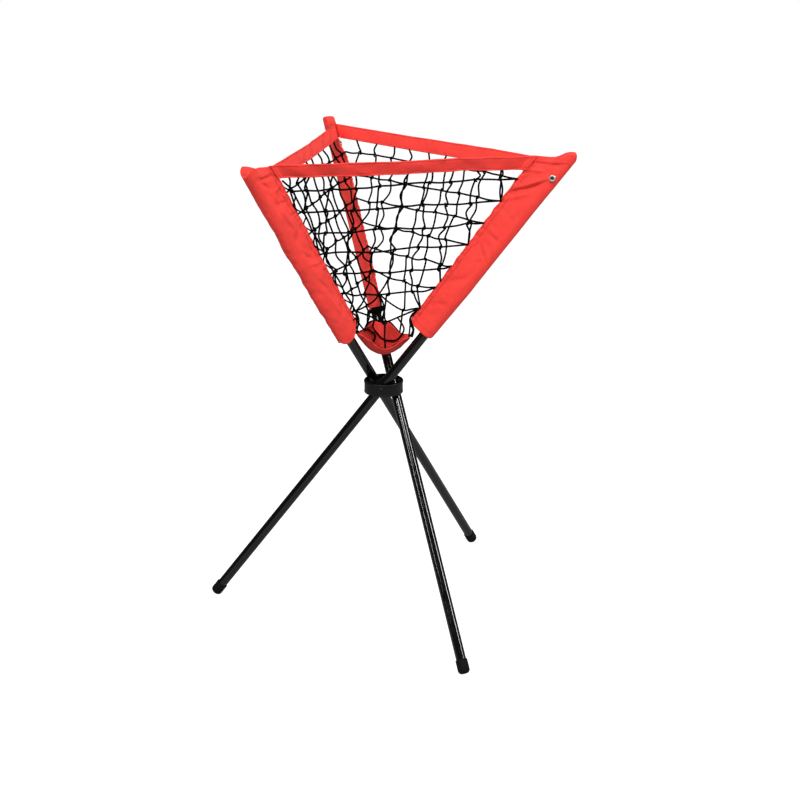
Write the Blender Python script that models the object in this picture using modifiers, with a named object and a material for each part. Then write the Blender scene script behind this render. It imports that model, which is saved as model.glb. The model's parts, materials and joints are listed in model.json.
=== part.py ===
"""A folding three-legged caddy that holds practice balls in a net basket at hand height.

Three steel tubes cross in a plastic hub. Above the hub each tube carries a flat fabric sleeve,
and nets hang between the sleeves from three rim bands. Below the hub the tubes are the legs.
Metres, +Z up and the floor at z = 0, with the middle of the object's outline on the Z axis.
Front is -Y.
"""

from math import acos, atan2, cos, hypot, pi, radians, sin

import bmesh
import bpy
from mathutils import Matrix, Vector

# The frame
PIVOT_HEIGHT = 0.457  # of the three leg pivots above the floor
RIM_HEIGHT = 0.911  # of the basket's top edge above the floor
LEG_TILT = radians(37.0)  # of each tube from upright, when open
LEG_OFFSET = 0.0195  # from the hub's axis to the plane that a leg folds in
LEGS = {"right": radians(-30.0), "rear": radians(90.0), "left": radians(210.0)}
HUB_X = LEG_OFFSET / 2  # the tubes pass the hub on one side, so it stands beside the middle
HUB_Y = -0.005
HUB_PLACE = (HUB_X, HUB_Y, PIVOT_HEIGHT)

# Tube and its ends
TUBE_DIAMETER = 0.019
TUBE_WALL = 0.001
FOOT_CAP_DIAMETER = 0.0225
FOOT_CAP_LENGTH = 0.026
FOOT_CAP_END = 0.0055  # rubber below the end of the tube
FOOT_CAP_ROUND = 0.007
FOOT_CAP_BEVEL = 0.0005  # at the cup's open edge
FOOT_FLAT_DEPTH = 0.0008  # how far the round end is worn flat by the floor
PLUG_FLANGE = 0.002
PLUG_LENGTH = 0.016
PLUG_CHAMFER = 0.0007

# Hub
HUB_DIAMETER = 0.0755
HUB_BORE = 0.0683
HUB_BELOW = 0.016  # from the pivots down to the hub's lower edge
HUB_ABOVE = 0.008  # from the pivots up to the hub's lip
HUB_LIP = 0.004
HUB_GROOVE = 0.00085  # how far the wall stands in from the lip
HUB_FOOT = 0.003
HUB_FOOT_GROOVE = 0.0004
CORE_BELOW = 0.014
CORE_ABOVE = 0.007
CORE_ROUND = 0.003
CORE_ROUND_STEPS = 3
WEB_THICKNESS = 0.0025
WEB_TURN = radians(-64.5)  # from a pivot round to the web beside it

# Pivots
PIVOT_DIAMETER = 0.0048
PIVOT_HEAD_DIAMETER = 0.007
PIVOT_HEAD_HEIGHT = 0.0017
PIVOT_HEAD_CROWN = 0.0014
PIVOT_IN_CORE = 0.0055  # how deep a pivot bolt sits in the core
SPACER_DIAMETER = 0.010

# Fabric
CLOTH = 0.0016
FIN_THICKNESS = 0.0026
FIN_START = 0.034  # from the tube's axis to where the two layers lie flat together
SLEEVE_BOTTOM = 0.137  # along the tube, from the pivot
SLEEVE_REACH_TOP = 0.050  # from the tube's axis to the inner edge, at the rim
SLEEVE_REACH_BOTTOM = 0.038
SLEEVE_CORNER = 0.010
SLEEVE_OUTER_CORNER = 0.004
BAND_HEIGHT = 0.025
BAND_THICKNESS = 0.0026
BAND_REACH = 0.043  # from the tube's axis to where a band is sewn to the sleeve

# Rivet that holds a sleeve to its tube
RIVET_BELOW_TOP = 0.0445  # from the tube's upper end
RIVET_DIAMETER = 0.0125
RIVET_HEIGHT = 0.0016
RIVET_SHANK = 0.0044
RIVET_EYE = 0.0035
RIVET_REACH = 0.0025  # past the inside of the tube's wall

# Net
MESH_PITCH = 0.0445
CORD_DIAMETER = 0.0026
NET_CLEAR = 0.0021  # from a border cord's middle to the cloth that it is laced to
NET_CORNER = 0.0132  # radius of a net's side round the sleeve's lower corner
NET_SIDE_STEP = 0.0022  # from a fin's middle plane to the border cord on that side
NET_FOOT_PLACE = 0.1275  # where a net's lower corner lies: along the tube
NET_FOOT_REACH = 0.021  # and in from its axis
NET_DROOP = 0.0455  # of a net's lower edge below its corners
TIE_SHARE = 0.3  # of the pitch: how close to the border a knot is tied to it

# Floor patch
PATCH_TIP_PLACE = 0.1335  # a tip's place along the tube
PATCH_TIP_REACH = 0.0137  # and in from its axis
PATCH_WAIST = 0.030  # from the hub's axis to the middle of an edge
PATCH_RISE = 0.059  # of its middle above the pivots
PATCH_BOWL = 2.56  # how late the bowl rises
PATCH_POINT = 2.2  # how fast it narrows towards a tip
PATCH_RINGS = 5
PATCH_SIDES = 48
PATCH_THICKNESS = 0.0016

# Fits
GAP = 0.0003  # between parts that touch
FINE = 0.0004
SIDES = 24
SMALL_SIDES = 16
HUB_SIDES = 48
ARC_STEPS = 4
SMOOTH_UNDER = radians(30)  # edges sharper than this stay sharp
MERGE = 1e-6
SCREW_MERGE = 2e-5

TUBE_RADIUS = TUBE_DIAMETER / 2
TUBE_BORE_RADIUS = TUBE_RADIUS - TUBE_WALL
CAP_RADIUS = FOOT_CAP_DIAMETER / 2
SLEEVE_BORE_RADIUS = TUBE_RADIUS + FINE
SLEEVE_RADIUS = SLEEVE_BORE_RADIUS + CLOTH
HUB_RADIUS = HUB_DIAMETER / 2
HUB_BORE_RADIUS = HUB_BORE / 2
CORE_RADIUS = LEG_OFFSET - TUBE_RADIUS - GAP
PIVOT_RADIUS = PIVOT_DIAMETER / 2
PIVOT_HOLE_RADIUS = PIVOT_RADIUS + GAP
RIVET_HOLE_RADIUS = RIVET_SHANK / 2 + GAP
RIM_RISE = RIM_HEIGHT - PIVOT_HEIGHT

# The tube ends under the sleeve's closed top, and above the rubber that stands on the floor.
SLEEVE_BORE_TOP = (RIM_RISE - CLOTH - SLEEVE_BORE_RADIUS * sin(LEG_TILT)) / cos(LEG_TILT)
TUBE_TOP = SLEEVE_BORE_TOP - GAP - PLUG_FLANGE - GAP
RIVET_PLACE = TUBE_TOP - RIVET_BELOW_TOP
CAP_CORE_DROP = PIVOT_HEIGHT + FOOT_FLAT_DEPTH - FOOT_CAP_ROUND
CAP_CORE_DROP -= (CAP_RADIUS - FOOT_CAP_ROUND) * sin(LEG_TILT)
CAP_TIP = -CAP_CORE_DROP / cos(LEG_TILT) - FOOT_CAP_ROUND
TUBE_BOTTOM = CAP_TIP + FOOT_CAP_END + GAP

PAINT = {
    "tube_black": ((0.012, 0.012, 0.013), 0.22, 0.0),
    "hub_black": ((0.020, 0.020, 0.021), 0.42, 0.0),
    "rubber_black": ((0.014, 0.014, 0.014), 0.75, 0.0),
    "sleeve_red": ((0.76, 0.045, 0.035), 0.62, 0.0),
    "band_red": ((0.74, 0.050, 0.038), 0.62, 0.0),
    "net_black": ((0.010, 0.010, 0.011), 0.80, 0.0),
    "rivet_steel": ((0.62, 0.62, 0.62), 0.28, 1.0),
    "pivot_steel": ((0.030, 0.030, 0.032), 0.35, 0.8),
    "nylon_white": ((0.72, 0.71, 0.68), 0.45, 0.0),
}


def clear_scene():
    for item in list(bpy.data.objects):
        bpy.data.objects.remove(item, do_unlink=True)


def new_collection(name):
    found = bpy.data.collections.new(name)
    bpy.context.scene.collection.children.link(found)
    return found


def material(name):
    """The part's own colour, roughness and metallic value as one Principled material."""
    found = bpy.data.materials.get(name)
    if found:
        return found
    colour, roughness, metallic = PAINT[name]
    found = bpy.data.materials.new(name)
    found.use_nodes = True
    shader = found.node_tree.nodes["Principled BSDF"]
    shader.inputs["Base Color"].default_value = (*colour, 1.0)
    shader.inputs["Roughness"].default_value = roughness
    shader.inputs["Metallic"].default_value = metallic
    found.diffuse_color = (*colour, 1.0)
    return found


def add_object(name, data, group, parent=None, place=(0, 0, 0), turn=(0, 0, 0), paint=None):
    made = bpy.data.objects.new(name, data)
    group.objects.link(made)
    made.parent = parent
    made.location = place
    made.rotation_euler = turn
    if paint:
        made.data.materials.append(material(paint))
    return made


def as_cutter(made):
    made.hide_render = True
    made.display_type = "WIRE"
    return made


def boolean(target, other, operation="DIFFERENCE"):
    step = target.modifiers.new(f"{operation.lower()}_{other.name}", "BOOLEAN")
    step.operation = operation
    step.object = other
    return step


def mesh_from(name, build):
    """A mesh made by a function that fills a bmesh."""
    shape = bmesh.new()
    build(shape)
    data = bpy.data.meshes.new(name)
    shape.to_mesh(data)
    shape.free()
    return data


def cylinder_mesh(name, radius, low, high, sides=SIDES):
    """A closed cylinder along Z from low to high."""

    def build(shape):
        bmesh.ops.create_cone(
            shape,
            cap_ends=True,
            segments=sides,
            radius1=radius,
            radius2=radius,
            depth=high - low,
            matrix=Matrix.Translation((0, 0, (low + high) / 2)),
        )

    return mesh_from(name, build)


def box_mesh(name, low, high):
    low, high = Vector(low), Vector(high)

    def build(shape):
        bmesh.ops.create_cube(shape, size=1.0)
        bmesh.ops.scale(shape, vec=high - low, verts=shape.verts)
        bmesh.ops.translate(shape, vec=(low + high) / 2, verts=shape.verts)

    return mesh_from(name, build)


def turned(name, profile, group, paint, closed=False, sides=SIDES, **where):
    """A profile of (radius, height) points turned round Z. Its outer side runs downwards."""

    def build(shape):
        points = [shape.verts.new((radius, 0, height)) for radius, height in profile]
        for first, second in zip(points, points[1:]):
            shape.edges.new((first, second))
        if closed:
            shape.edges.new((points[-1], points[0]))

    made = add_object(name, mesh_from(name, build), group, paint=paint, **where)
    turn = made.modifiers.new("turn", "SCREW")
    turn.steps = sides
    turn.render_steps = sides
    turn.use_merge_vertices = True
    turn.merge_threshold = SCREW_MERGE
    turn.use_smooth_shade = True
    return made


def flat_outline(name, points, half_depth, group, **where):
    """A closed outline in XY, extruded both ways along Z, as a welded mesh."""
    curve = bpy.data.curves.new(name, "CURVE")
    curve.dimensions = "2D"
    curve.fill_mode = "BOTH"
    curve.extrude = half_depth
    line = curve.splines.new("POLY")
    line.points.add(len(points) - 1)
    for point, (across, along) in zip(line.points, points):
        point.co = (across, along, 0, 1)
    line.use_cyclic_u = True
    drawn = add_object(name, curve, group, **where)
    bpy.context.view_layer.update()
    graph = bpy.context.evaluated_depsgraph_get()
    data = bpy.data.meshes.new_from_object(drawn.evaluated_get(graph))
    weld(data)
    parent, place, turn = drawn.parent, drawn.location.copy(), drawn.rotation_euler.copy()
    bpy.data.objects.remove(drawn, do_unlink=True)
    bpy.data.curves.remove(curve)
    return add_object(name, data, group, parent=parent, place=place, turn=turn)


def weld(data):
    shape = bmesh.new()
    shape.from_mesh(data)
    bmesh.ops.remove_doubles(shape, verts=shape.verts, dist=MERGE)
    bmesh.ops.recalc_face_normals(shape, faces=shape.faces)
    shape.to_mesh(data)
    shape.free()


def arc(centre, radius, start, end, steps=ARC_STEPS):
    """Points round a centre, both ends included."""
    angles = [start + (end - start) * step / steps for step in range(steps + 1)]
    return [(centre[0] + radius * cos(a), centre[1] + radius * sin(a)) for a in angles]


def hinge_place(angle):
    """Where a tube's axis crosses its hinge."""
    return (HUB_X + LEG_OFFSET * sin(angle), HUB_Y - LEG_OFFSET * cos(angle), PIVOT_HEIGHT)


def leg_axes(name, angle, group):
    """The empty on a leg's hinge: Z runs up the tube, Y along the hinge and X outwards."""
    empty = bpy.data.objects.new(f"{name}_pivot", None)
    group.objects.link(empty)
    empty.location = hinge_place(angle)
    empty.rotation_euler = (0, LEG_TILT, angle)
    bpy.context.view_layer.update()
    return empty


def level_place(reach, height):
    """The place along a tube where a line, reach in from its axis, is at a height."""
    return (height - PIVOT_HEIGHT - reach * sin(LEG_TILT)) / cos(LEG_TILT)


def sleeve_reach(place):
    """From the tube's axis to the sleeve's inner edge, at a place along the tube."""
    top = level_place(SLEEVE_REACH_TOP, RIM_HEIGHT)
    share = (place - SLEEVE_BOTTOM) / (top - SLEEVE_BOTTOM)
    return SLEEVE_REACH_BOTTOM + share * (SLEEVE_REACH_TOP - SLEEVE_REACH_BOTTOM)


def make_tube(name, leg, parts, cutters):
    """An open steel tube with a hole for its pivot and one for the sleeve's rivet."""
    profile = [
        (TUBE_RADIUS, TUBE_TOP),
        (TUBE_RADIUS, TUBE_BOTTOM),
        (TUBE_BORE_RADIUS, TUBE_BOTTOM),
        (TUBE_BORE_RADIUS, TUBE_TOP),
    ]
    tube = turned(f"leg_tube_{name}", profile, parts, "tube_black", closed=True, parent=leg)
    drill = cylinder_mesh("pivot_drill", PIVOT_HOLE_RADIUS, -2 * TUBE_DIAMETER, 2 * TUBE_DIAMETER)
    drill = as_cutter(add_object(f"pivot_drill_{name}", drill, cutters, leg, turn=(pi / 2, 0, 0)))
    boolean(tube, drill)
    punch = cylinder_mesh("rivet_punch", RIVET_HOLE_RADIUS, 0, 2 * TUBE_DIAMETER)
    punch = add_object(
        f"rivet_punch_{name}", punch, cutters, leg, (0, 0, RIVET_PLACE), (pi / 2, 0, 0)
    )
    boolean(tube, as_cutter(punch))
    return as_cutter(punch)


def make_foot_cap(name, leg, parts, floor):
    """A rubber cup over the tube's lower end, its round tip worn flat where it stands."""
    bore = TUBE_RADIUS + GAP
    low = CAP_TIP + FOOT_CAP_ROUND
    high = CAP_TIP + FOOT_CAP_LENGTH
    profile = [(0, TUBE_BOTTOM - GAP), (bore, TUBE_BOTTOM - GAP), (bore, high)]
    profile += [(CAP_RADIUS - FOOT_CAP_BEVEL, high), (CAP_RADIUS, high - FOOT_CAP_BEVEL)]
    round_centre = (CAP_RADIUS - FOOT_CAP_ROUND, low)
    profile += arc(round_centre, FOOT_CAP_ROUND, 0, -pi / 2)
    profile += [(0, CAP_TIP)]
    cap = turned(f"foot_cap_{name}", profile, parts, "rubber_black", parent=leg)
    boolean(cap, floor)


def make_top_plug(name, leg, parts):
    """A plastic plug in the tube's upper end, under the sleeve."""
    spigot = TUBE_BORE_RADIUS - GAP
    low, seat = TUBE_TOP - PLUG_LENGTH, TUBE_TOP + GAP
    top = seat + PLUG_FLANGE
    profile = [
        (0, top),
        (TUBE_RADIUS - PLUG_CHAMFER, top),
        (TUBE_RADIUS, top - PLUG_CHAMFER),
        (TUBE_RADIUS, seat),
        (spigot, seat),
        (spigot, low + PLUG_CHAMFER),
        (spigot - PLUG_CHAMFER, low),
        (0, low),
    ]
    turned(f"top_plug_{name}", profile, parts, "hub_black", parent=leg)


def sleeve_section():
    """The sleeve's section: round over the tube, then drawn in to a flat double fin."""
    half = FIN_THICKNESS / 2
    bend = (-FIN_START, half)
    touch = atan2(bend[1], bend[0]) - acos(SLEEVE_RADIUS / hypot(*bend))
    past = -SLEEVE_REACH_TOP - CLOTH
    points = [(past, half), bend]
    points += arc((0, 0), SLEEVE_RADIUS, touch, -touch, SIDES)
    return points + [(-FIN_START, -half), (past, -half)]


def sleeve_side():
    """The sleeve from the side, in (outwards, along the tube): level at the rim, rounded below."""
    outer = SLEEVE_RADIUS + FINE
    corner, small = SLEEVE_CORNER, SLEEVE_OUTER_CORNER
    points = [(outer, level_place(-outer, RIM_HEIGHT))]
    points += [(-SLEEVE_REACH_TOP, level_place(SLEEVE_REACH_TOP, RIM_HEIGHT))]
    start = SLEEVE_BOTTOM + corner
    points += arc((-sleeve_reach(start) + corner, start), corner, pi, 1.5 * pi)
    points += arc((outer - small, SLEEVE_BOTTOM + small), small, 1.5 * pi, 2 * pi)
    return points


def make_sleeve(name, leg, parts, cutters, punch):
    """A fabric cover over the tube with a flat fin towards the basket."""
    middle = (SLEEVE_BOTTOM + RIM_RISE / cos(LEG_TILT)) / 2
    half_length = middle - SLEEVE_BOTTOM + SLEEVE_RADIUS
    sleeve = flat_outline(
        f"sleeve_{name}", sleeve_section(), half_length, parts, parent=leg, place=(0, 0, middle)
    )
    sleeve.data.materials.append(material("sleeve_red"))
    side = flat_outline(
        f"sleeve_side_{name}", sleeve_side(), TUBE_DIAMETER, cutters, parent=leg, turn=(pi / 2, 0, 0)
    )
    boolean(sleeve, as_cutter(side), "INTERSECT")
    bore = cylinder_mesh("sleeve_bore", SLEEVE_BORE_RADIUS, 0, SLEEVE_BORE_TOP)
    bore = as_cutter(add_object(f"sleeve_bore_{name}", bore, cutters, leg))
    boolean(sleeve, bore)
    boolean(sleeve, punch)


def make_rivet(name, leg, parts):
    """A tubular rivet through the sleeve into the tube, on the sleeve's clockwise face."""
    seat = SLEEVE_RADIUS + GAP
    head, shank = RIVET_DIAMETER / 2, RIVET_SHANK / 2
    eye = RIVET_EYE / 2
    top = seat + RIVET_HEIGHT
    end = TUBE_BORE_RADIUS - RIVET_REACH
    profile = [(0, seat), (eye, seat), (eye, top)]
    profile += arc((head - RIVET_HEIGHT, seat), RIVET_HEIGHT, pi / 2, 0)
    profile += [(shank, seat), (shank, end), (0, end)]
    turned(
        f"sleeve_rivet_{name}",
        profile,
        parts,
        "rivet_steel",
        sides=SMALL_SIDES,
        parent=leg,
        place=(0, 0, RIVET_PLACE),
        turn=(pi / 2, 0, 0),
    )


def hub_profile():
    """The hub's wall: a rounded lip, a plain wall set in from it and a small foot."""
    lip = (HUB_RADIUS - HUB_BORE_RADIUS) / 2
    wall = HUB_RADIUS - HUB_GROOVE
    foot = wall + HUB_FOOT_GROOVE
    edge = HUB_FOOT_GROOVE
    points = arc((HUB_RADIUS - lip, HUB_ABOVE - lip), lip, pi, 0, 2 * ARC_STEPS)
    points += [(HUB_RADIUS, HUB_ABOVE - HUB_LIP), (wall, HUB_ABOVE - HUB_LIP - HUB_GROOVE)]
    points += [(wall, -HUB_BELOW + HUB_FOOT + edge), (foot, -HUB_BELOW + HUB_FOOT)]
    points += [(foot, -HUB_BELOW + edge), (foot - edge, -HUB_BELOW)]
    return points + [(HUB_BORE_RADIUS, -HUB_BELOW)]


def core_mesh():
    """A three-sided block between the tubes, with rounded corners and a flat for each tube."""

    def build(shape):
        bmesh.ops.create_cone(
            shape,
            cap_ends=True,
            segments=3,
            radius1=2 * CORE_RADIUS,
            radius2=2 * CORE_RADIUS,
            depth=CORE_ABOVE + CORE_BELOW,
            matrix=Matrix.Translation((0, 0, (CORE_ABOVE - CORE_BELOW) / 2)),
        )
        # The prism is turned so that its flats face the tubes.
        corner = atan2(shape.verts[:][0].co.y, shape.verts[:][0].co.x)
        turn = Matrix.Rotation(first_flat() - pi / 3 - corner, 4, "Z")
        bmesh.ops.transform(shape, matrix=turn, verts=shape.verts)
        upright = [e for e in shape.edges if abs(e.verts[0].co.z - e.verts[1].co.z) > GAP]
        bmesh.ops.bevel(shape, geom=upright, offset=CORE_ROUND, segments=CORE_ROUND_STEPS, affect="EDGES")

    return mesh_from("hub_core", build)


def first_flat():
    """The direction from the hub's axis to the first leg's tube."""
    return LEGS["right"] - pi / 2


def make_hub(parts, cutters):
    """One moulding: a ring round the three tubes, with webs to a core that holds the pivots."""
    hub = turned(
        "hub", hub_profile(), parts, "hub_black", closed=True, sides=HUB_SIDES, place=HUB_PLACE
    )
    core = add_object("hub_core", core_mesh(), cutters, place=HUB_PLACE)
    boolean(hub, as_cutter(core), "UNION")
    half = WEB_THICKNESS / 2
    end = (HUB_RADIUS - HUB_GROOVE + HUB_BORE_RADIUS) / 2
    web = box_mesh("hub_web", (CORE_RADIUS / 2, -half, -CORE_BELOW), (end, half, CORE_ABOVE))
    deep = cylinder_mesh(
        "core_drill", PIVOT_HOLE_RADIUS, -TUBE_RADIUS - GAP - PIVOT_IN_CORE - GAP, HUB_RADIUS
    )
    for name, angle in LEGS.items():
        turn = (0, 0, angle - pi / 2 + WEB_TURN)
        rib = add_object(f"hub_web_{name}", web, cutters, place=HUB_PLACE, turn=turn)
        boolean(hub, as_cutter(rib), "UNION")
    for name, angle in LEGS.items():
        drill = add_object(f"core_drill_{name}", deep, cutters, **pivot_axis(angle))
        boolean(hub, as_cutter(drill))


def pivot_axis(angle):
    """Places a turned piece on a leg's hinge, its Z pointing out of the hub."""
    return {"place": hinge_place(angle), "turn": (pi / 2, 0, angle)}


def make_pivot(name, angle, parts):
    """The bolt that a leg turns on, and the nylon spacer between the hub's wall and the tube."""
    seat = HUB_RADIUS - HUB_GROOVE - LEG_OFFSET + GAP
    head = PIVOT_HEAD_DIAMETER / 2
    tip = -TUBE_RADIUS - GAP - PIVOT_IN_CORE
    profile = [(0, seat + PIVOT_HEAD_HEIGHT)]
    crown = PIVOT_HEAD_CROWN
    profile += arc((head - crown, seat + PIVOT_HEAD_HEIGHT - crown), crown, pi / 2, 0)
    profile += [(head, seat), (PIVOT_RADIUS, seat), (PIVOT_RADIUS, tip), (0, tip)]
    bolt = f"pivot_bolt_{name}"
    turned(bolt, profile, parts, "pivot_steel", sides=SMALL_SIDES, **pivot_axis(angle))

    radius = SPACER_DIAMETER / 2
    high = (HUB_BORE_RADIUS**2 - radius**2) ** 0.5 - LEG_OFFSET - GAP
    low = TUBE_RADIUS + GAP
    profile = [(radius, high), (radius, low), (PIVOT_HOLE_RADIUS, low), (PIVOT_HOLE_RADIUS, high)]
    turned(
        f"pivot_spacer_{name}",
        profile,
        parts,
        "nylon_white",
        closed=True,
        sides=SMALL_SIDES,
        **pivot_axis(angle),
    )


def on_leg(leg, reach, side, place):
    """A world point: reach in from a tube's axis, to a side along its hinge, at a place on it."""
    return leg.matrix_world @ Vector((-reach, side, place))


def make_band(name, first, second, parts, cutters):
    """A hemmed strip along one side of the rim, from one sleeve to the next."""
    ends = {}
    for height in (RIM_HEIGHT, RIM_HEIGHT - BAND_HEIGHT):
        place = level_place(BAND_REACH, height)
        ends[height] = [on_leg(leg, BAND_REACH, 0, place) for leg in (first, second)]
    (top_a, top_b), (low_a, low_b) = ends.values()
    middle = (top_a + top_b + low_a + low_b) / 4
    along = (top_b - top_a).normalized()
    up = ((top_a + top_b) - (low_a + low_b)).normalized()
    half_top, half_low = (top_b - top_a).length / 2, (low_b - low_a).length / 2
    rise = ((top_a + top_b) / 2 - middle).length
    outline = [(-half_low, -rise), (half_low, -rise), (half_top, rise), (-half_top, rise)]
    facing = along.cross(up)
    axes = Matrix((along, facing.cross(along), facing)).transposed()
    band = flat_outline(
        f"rim_band_{name}", outline, BAND_THICKNESS / 2, parts,
        place=middle, turn=axes.to_euler(),
    )
    band.data.materials.append(material("band_red"))
    # Each end is mitred to lie flat against its sleeve's fin.
    reach = 2 * SLEEVE_REACH_TOP
    clear = FIN_THICKNESS / 2 + GAP
    low, high = TUBE_TOP - reach, TUBE_TOP + reach
    for leg, side in ((first, 1), (second, -1)):
        far = sorted((side * clear, -side * reach))
        block = box_mesh("band_mitre", (-reach, far[0], low), (reach, far[1], high))
        block = add_object(f"band_mitre_{name}_{side}", block, cutters, leg)
        boolean(band, as_cutter(block))


def net_border(leg, side):
    """A net's side, from the rim down the sleeve's inner edge and round below it."""
    top = level_place(SLEEVE_REACH_TOP + NET_CLEAR, RIM_HEIGHT - BAND_HEIGHT - NET_CLEAR)
    corner_place = SLEEVE_BOTTOM + SLEEVE_CORNER
    corner_reach = sleeve_reach(corner_place) - SLEEVE_CORNER
    points = [(sleeve_reach(top) + NET_CLEAR, top)]
    points += arc((corner_reach, corner_place), NET_CORNER, 0, -pi / 4, 1)
    points += [(NET_FOOT_REACH, NET_FOOT_PLACE)]
    return [on_leg(leg, reach, side * NET_SIDE_STEP, place) for reach, place in points]


def net_mesh(name, left, right):
    """A square mesh cut to the panel's outline and bent between its two borders."""
    widths = [(b - a).length / 2 for a, b in zip(left, right)]
    middles = [(a + b) / 2 for a, b in zip(left, right)]
    drops = [0.0]
    for upper, lower in zip(middles, middles[1:]):
        drops.append(drops[-1] + (upper - lower).length)
    depth = drops[-1]

    def placed(across, down):
        """The place in space of a point of the flat net."""
        rung = max(k for k in range(len(drops) - 1) if drops[k] <= down or k == 0)
        share = (down - drops[rung]) / (drops[rung + 1] - drops[rung])
        start = left[rung].lerp(left[rung + 1], share)
        end = right[rung].lerp(right[rung + 1], share)
        swing = across / ((end - start).length / 2)
        point = start.lerp(end, (swing + 1) / 2)
        low = max(0.0, 2 * down / depth - 1)
        point.z -= NET_DROOP * low**2 * (1 - swing**2)
        return point

    def build(shape):
        outline = [(-w, d) for w, d in zip(widths, drops)]
        outline += [(w, d) for w, d in zip(reversed(widths), reversed(drops))]
        shape.faces.new([shape.verts.new((x, y, 0)) for x, y in outline])
        columns = int(widths[0] / MESH_PITCH)
        cuts = [((k * MESH_PITCH, 0, 0), (1, 0, 0)) for k in range(-columns, columns + 1)]
        rows = int(depth / MESH_PITCH)
        cuts += [((0, (k + 0.5) * MESH_PITCH, 0), (0, 1, 0)) for k in range(rows + 1)]
        for place, normal in cuts:
            everything = shape.verts[:] + shape.edges[:] + shape.faces[:]
            bmesh.ops.bisect_plane(shape, geom=everything, plane_co=place, plane_no=normal)
        # A knot that falls close to the border is tied to it.
        border = [v for v in shape.verts if v.is_boundary]
        near = bmesh.ops.find_doubles(
            shape, verts=shape.verts, keep_verts=border, dist=MESH_PITCH * TIE_SHARE
        )
        bmesh.ops.weld_verts(shape, targetmap=near["targetmap"])
        for corner in shape.verts:
            corner.co = placed(corner.co.x, corner.co.y)
        bmesh.ops.recalc_face_normals(shape, faces=shape.faces)

    return mesh_from(name, build)


def make_net(name, first, second, parts):
    """A knotted net between two sleeves, one solid: each mesh is an open gap."""
    left, right = net_border(first, 1), net_border(second, -1)
    node = f"net_panel_{name}"
    net = add_object(node, net_mesh(node, left, right), parts, paint="net_black")
    cords = net.modifiers.new("cords", "WIREFRAME")
    cords.thickness = CORD_DIAMETER
    cords.offset = 0
    cords.use_boundary = True
    cords.use_replace = True
    cords.use_even_offset = True
    cords.use_relative_offset = False


def make_patch(parts):
    """A three-cornered cloth that closes the basket's bottom, hung by its tips."""
    along = PATCH_TIP_PLACE * sin(LEG_TILT) - PATCH_TIP_REACH * cos(LEG_TILT)
    tip_radius = hypot(along, LEG_OFFSET)
    low = PIVOT_HEIGHT + PATCH_RISE
    tip_turn = LEGS["right"] - atan2(LEG_OFFSET, along)
    tip_height = PIVOT_HEIGHT + PATCH_TIP_PLACE * cos(LEG_TILT) + PATCH_TIP_REACH * sin(LEG_TILT)

    def outline(angle):
        lobe = (1 + cos(3 * (angle - tip_turn))) / 2
        return PATCH_WAIST + (tip_radius - PATCH_WAIST) * lobe**PATCH_POINT

    def height(radius):
        return low + (tip_height - low) * (radius / tip_radius) ** PATCH_BOWL

    def build(shape):
        shape.verts.new((0, 0, low))
        inner = None
        for ring in range(1, PATCH_RINGS + 1):
            made = bmesh.ops.create_circle(shape, segments=PATCH_SIDES, radius=1.0)["verts"]
            for corner in made:
                angle = atan2(corner.co.y, corner.co.x)
                radius = outline(angle) * ring / PATCH_RINGS
                corner.co = (radius * cos(angle), radius * sin(angle), height(radius))
            edges = [e for e in shape.edges if e.verts[0] in made and e.verts[1] in made]
            if inner:
                bmesh.ops.bridge_loops(shape, edges=inner + edges)
            else:
                shape.verts.ensure_lookup_table()
                for edge in edges:
                    shape.faces.new((shape.verts[0], edge.verts[0], edge.verts[1]))
            inner = [e for e in shape.edges if e.verts[0] in made and e.verts[1] in made]
        bmesh.ops.recalc_face_normals(shape, faces=shape.faces)

    cloth = mesh_from("floor_patch", build)
    middle = (HUB_X, HUB_Y, 0)
    patch = add_object("floor_patch", cloth, parts, place=middle, paint="band_red")
    thick = patch.modifiers.new("cloth", "SOLIDIFY")
    thick.thickness = PATCH_THICKNESS
    thick.offset = 0


def shade_round(parts):
    for made in parts.objects:
        if made.type == "MESH" and not made.name.startswith("net_panel"):
            made.data.shade_smooth()
            made.data.set_sharp_from_angle(angle=SMOOTH_UNDER)


def main():
    clear_scene()
    parts = new_collection("ball_caddy")
    cutters = new_collection("cutters")
    size = 2 * PIVOT_HEIGHT
    floor = box_mesh("floor_cutter", (-size, -size, -size), (size, size, 0))
    floor = as_cutter(add_object("floor_cutter", floor, cutters))
    make_hub(parts, cutters)
    legs = {}
    for name, angle in LEGS.items():
        leg = leg_axes(f"leg_{name}", angle, parts)
        legs[name] = leg
        punch = make_tube(name, leg, parts, cutters)
        make_foot_cap(name, leg, parts, floor)
        make_top_plug(name, leg, parts)
        make_sleeve(name, leg, parts, cutters, punch)
        make_rivet(name, leg, parts)
        make_pivot(name, angle, parts)
    sides = {"front": ("left", "right"), "right": ("right", "rear"), "left": ("rear", "left")}
    for name, (first, second) in sides.items():
        make_band(name, legs[first], legs[second], parts, cutters)
        make_net(name, legs[first], legs[second], parts)
    make_patch(parts)
    shade_round(parts)


main()
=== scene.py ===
"""Looks for the folding ball caddy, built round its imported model.

Red nylon sleeves, rim bands and a floor patch with hems and stitches, nets of knotted cord,
finishes for the steel, plastic and rubber, and a plain studio with the photograph's camera.
Metres, +Z up, front is -Y. Lengths along a leg are measured from its pivot in the hub.
"""

import json
from math import asin, atan2, cos, pi, radians, sin, sqrt

import bmesh
import bpy
import numpy as np
from mathutils import Matrix, Vector


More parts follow.
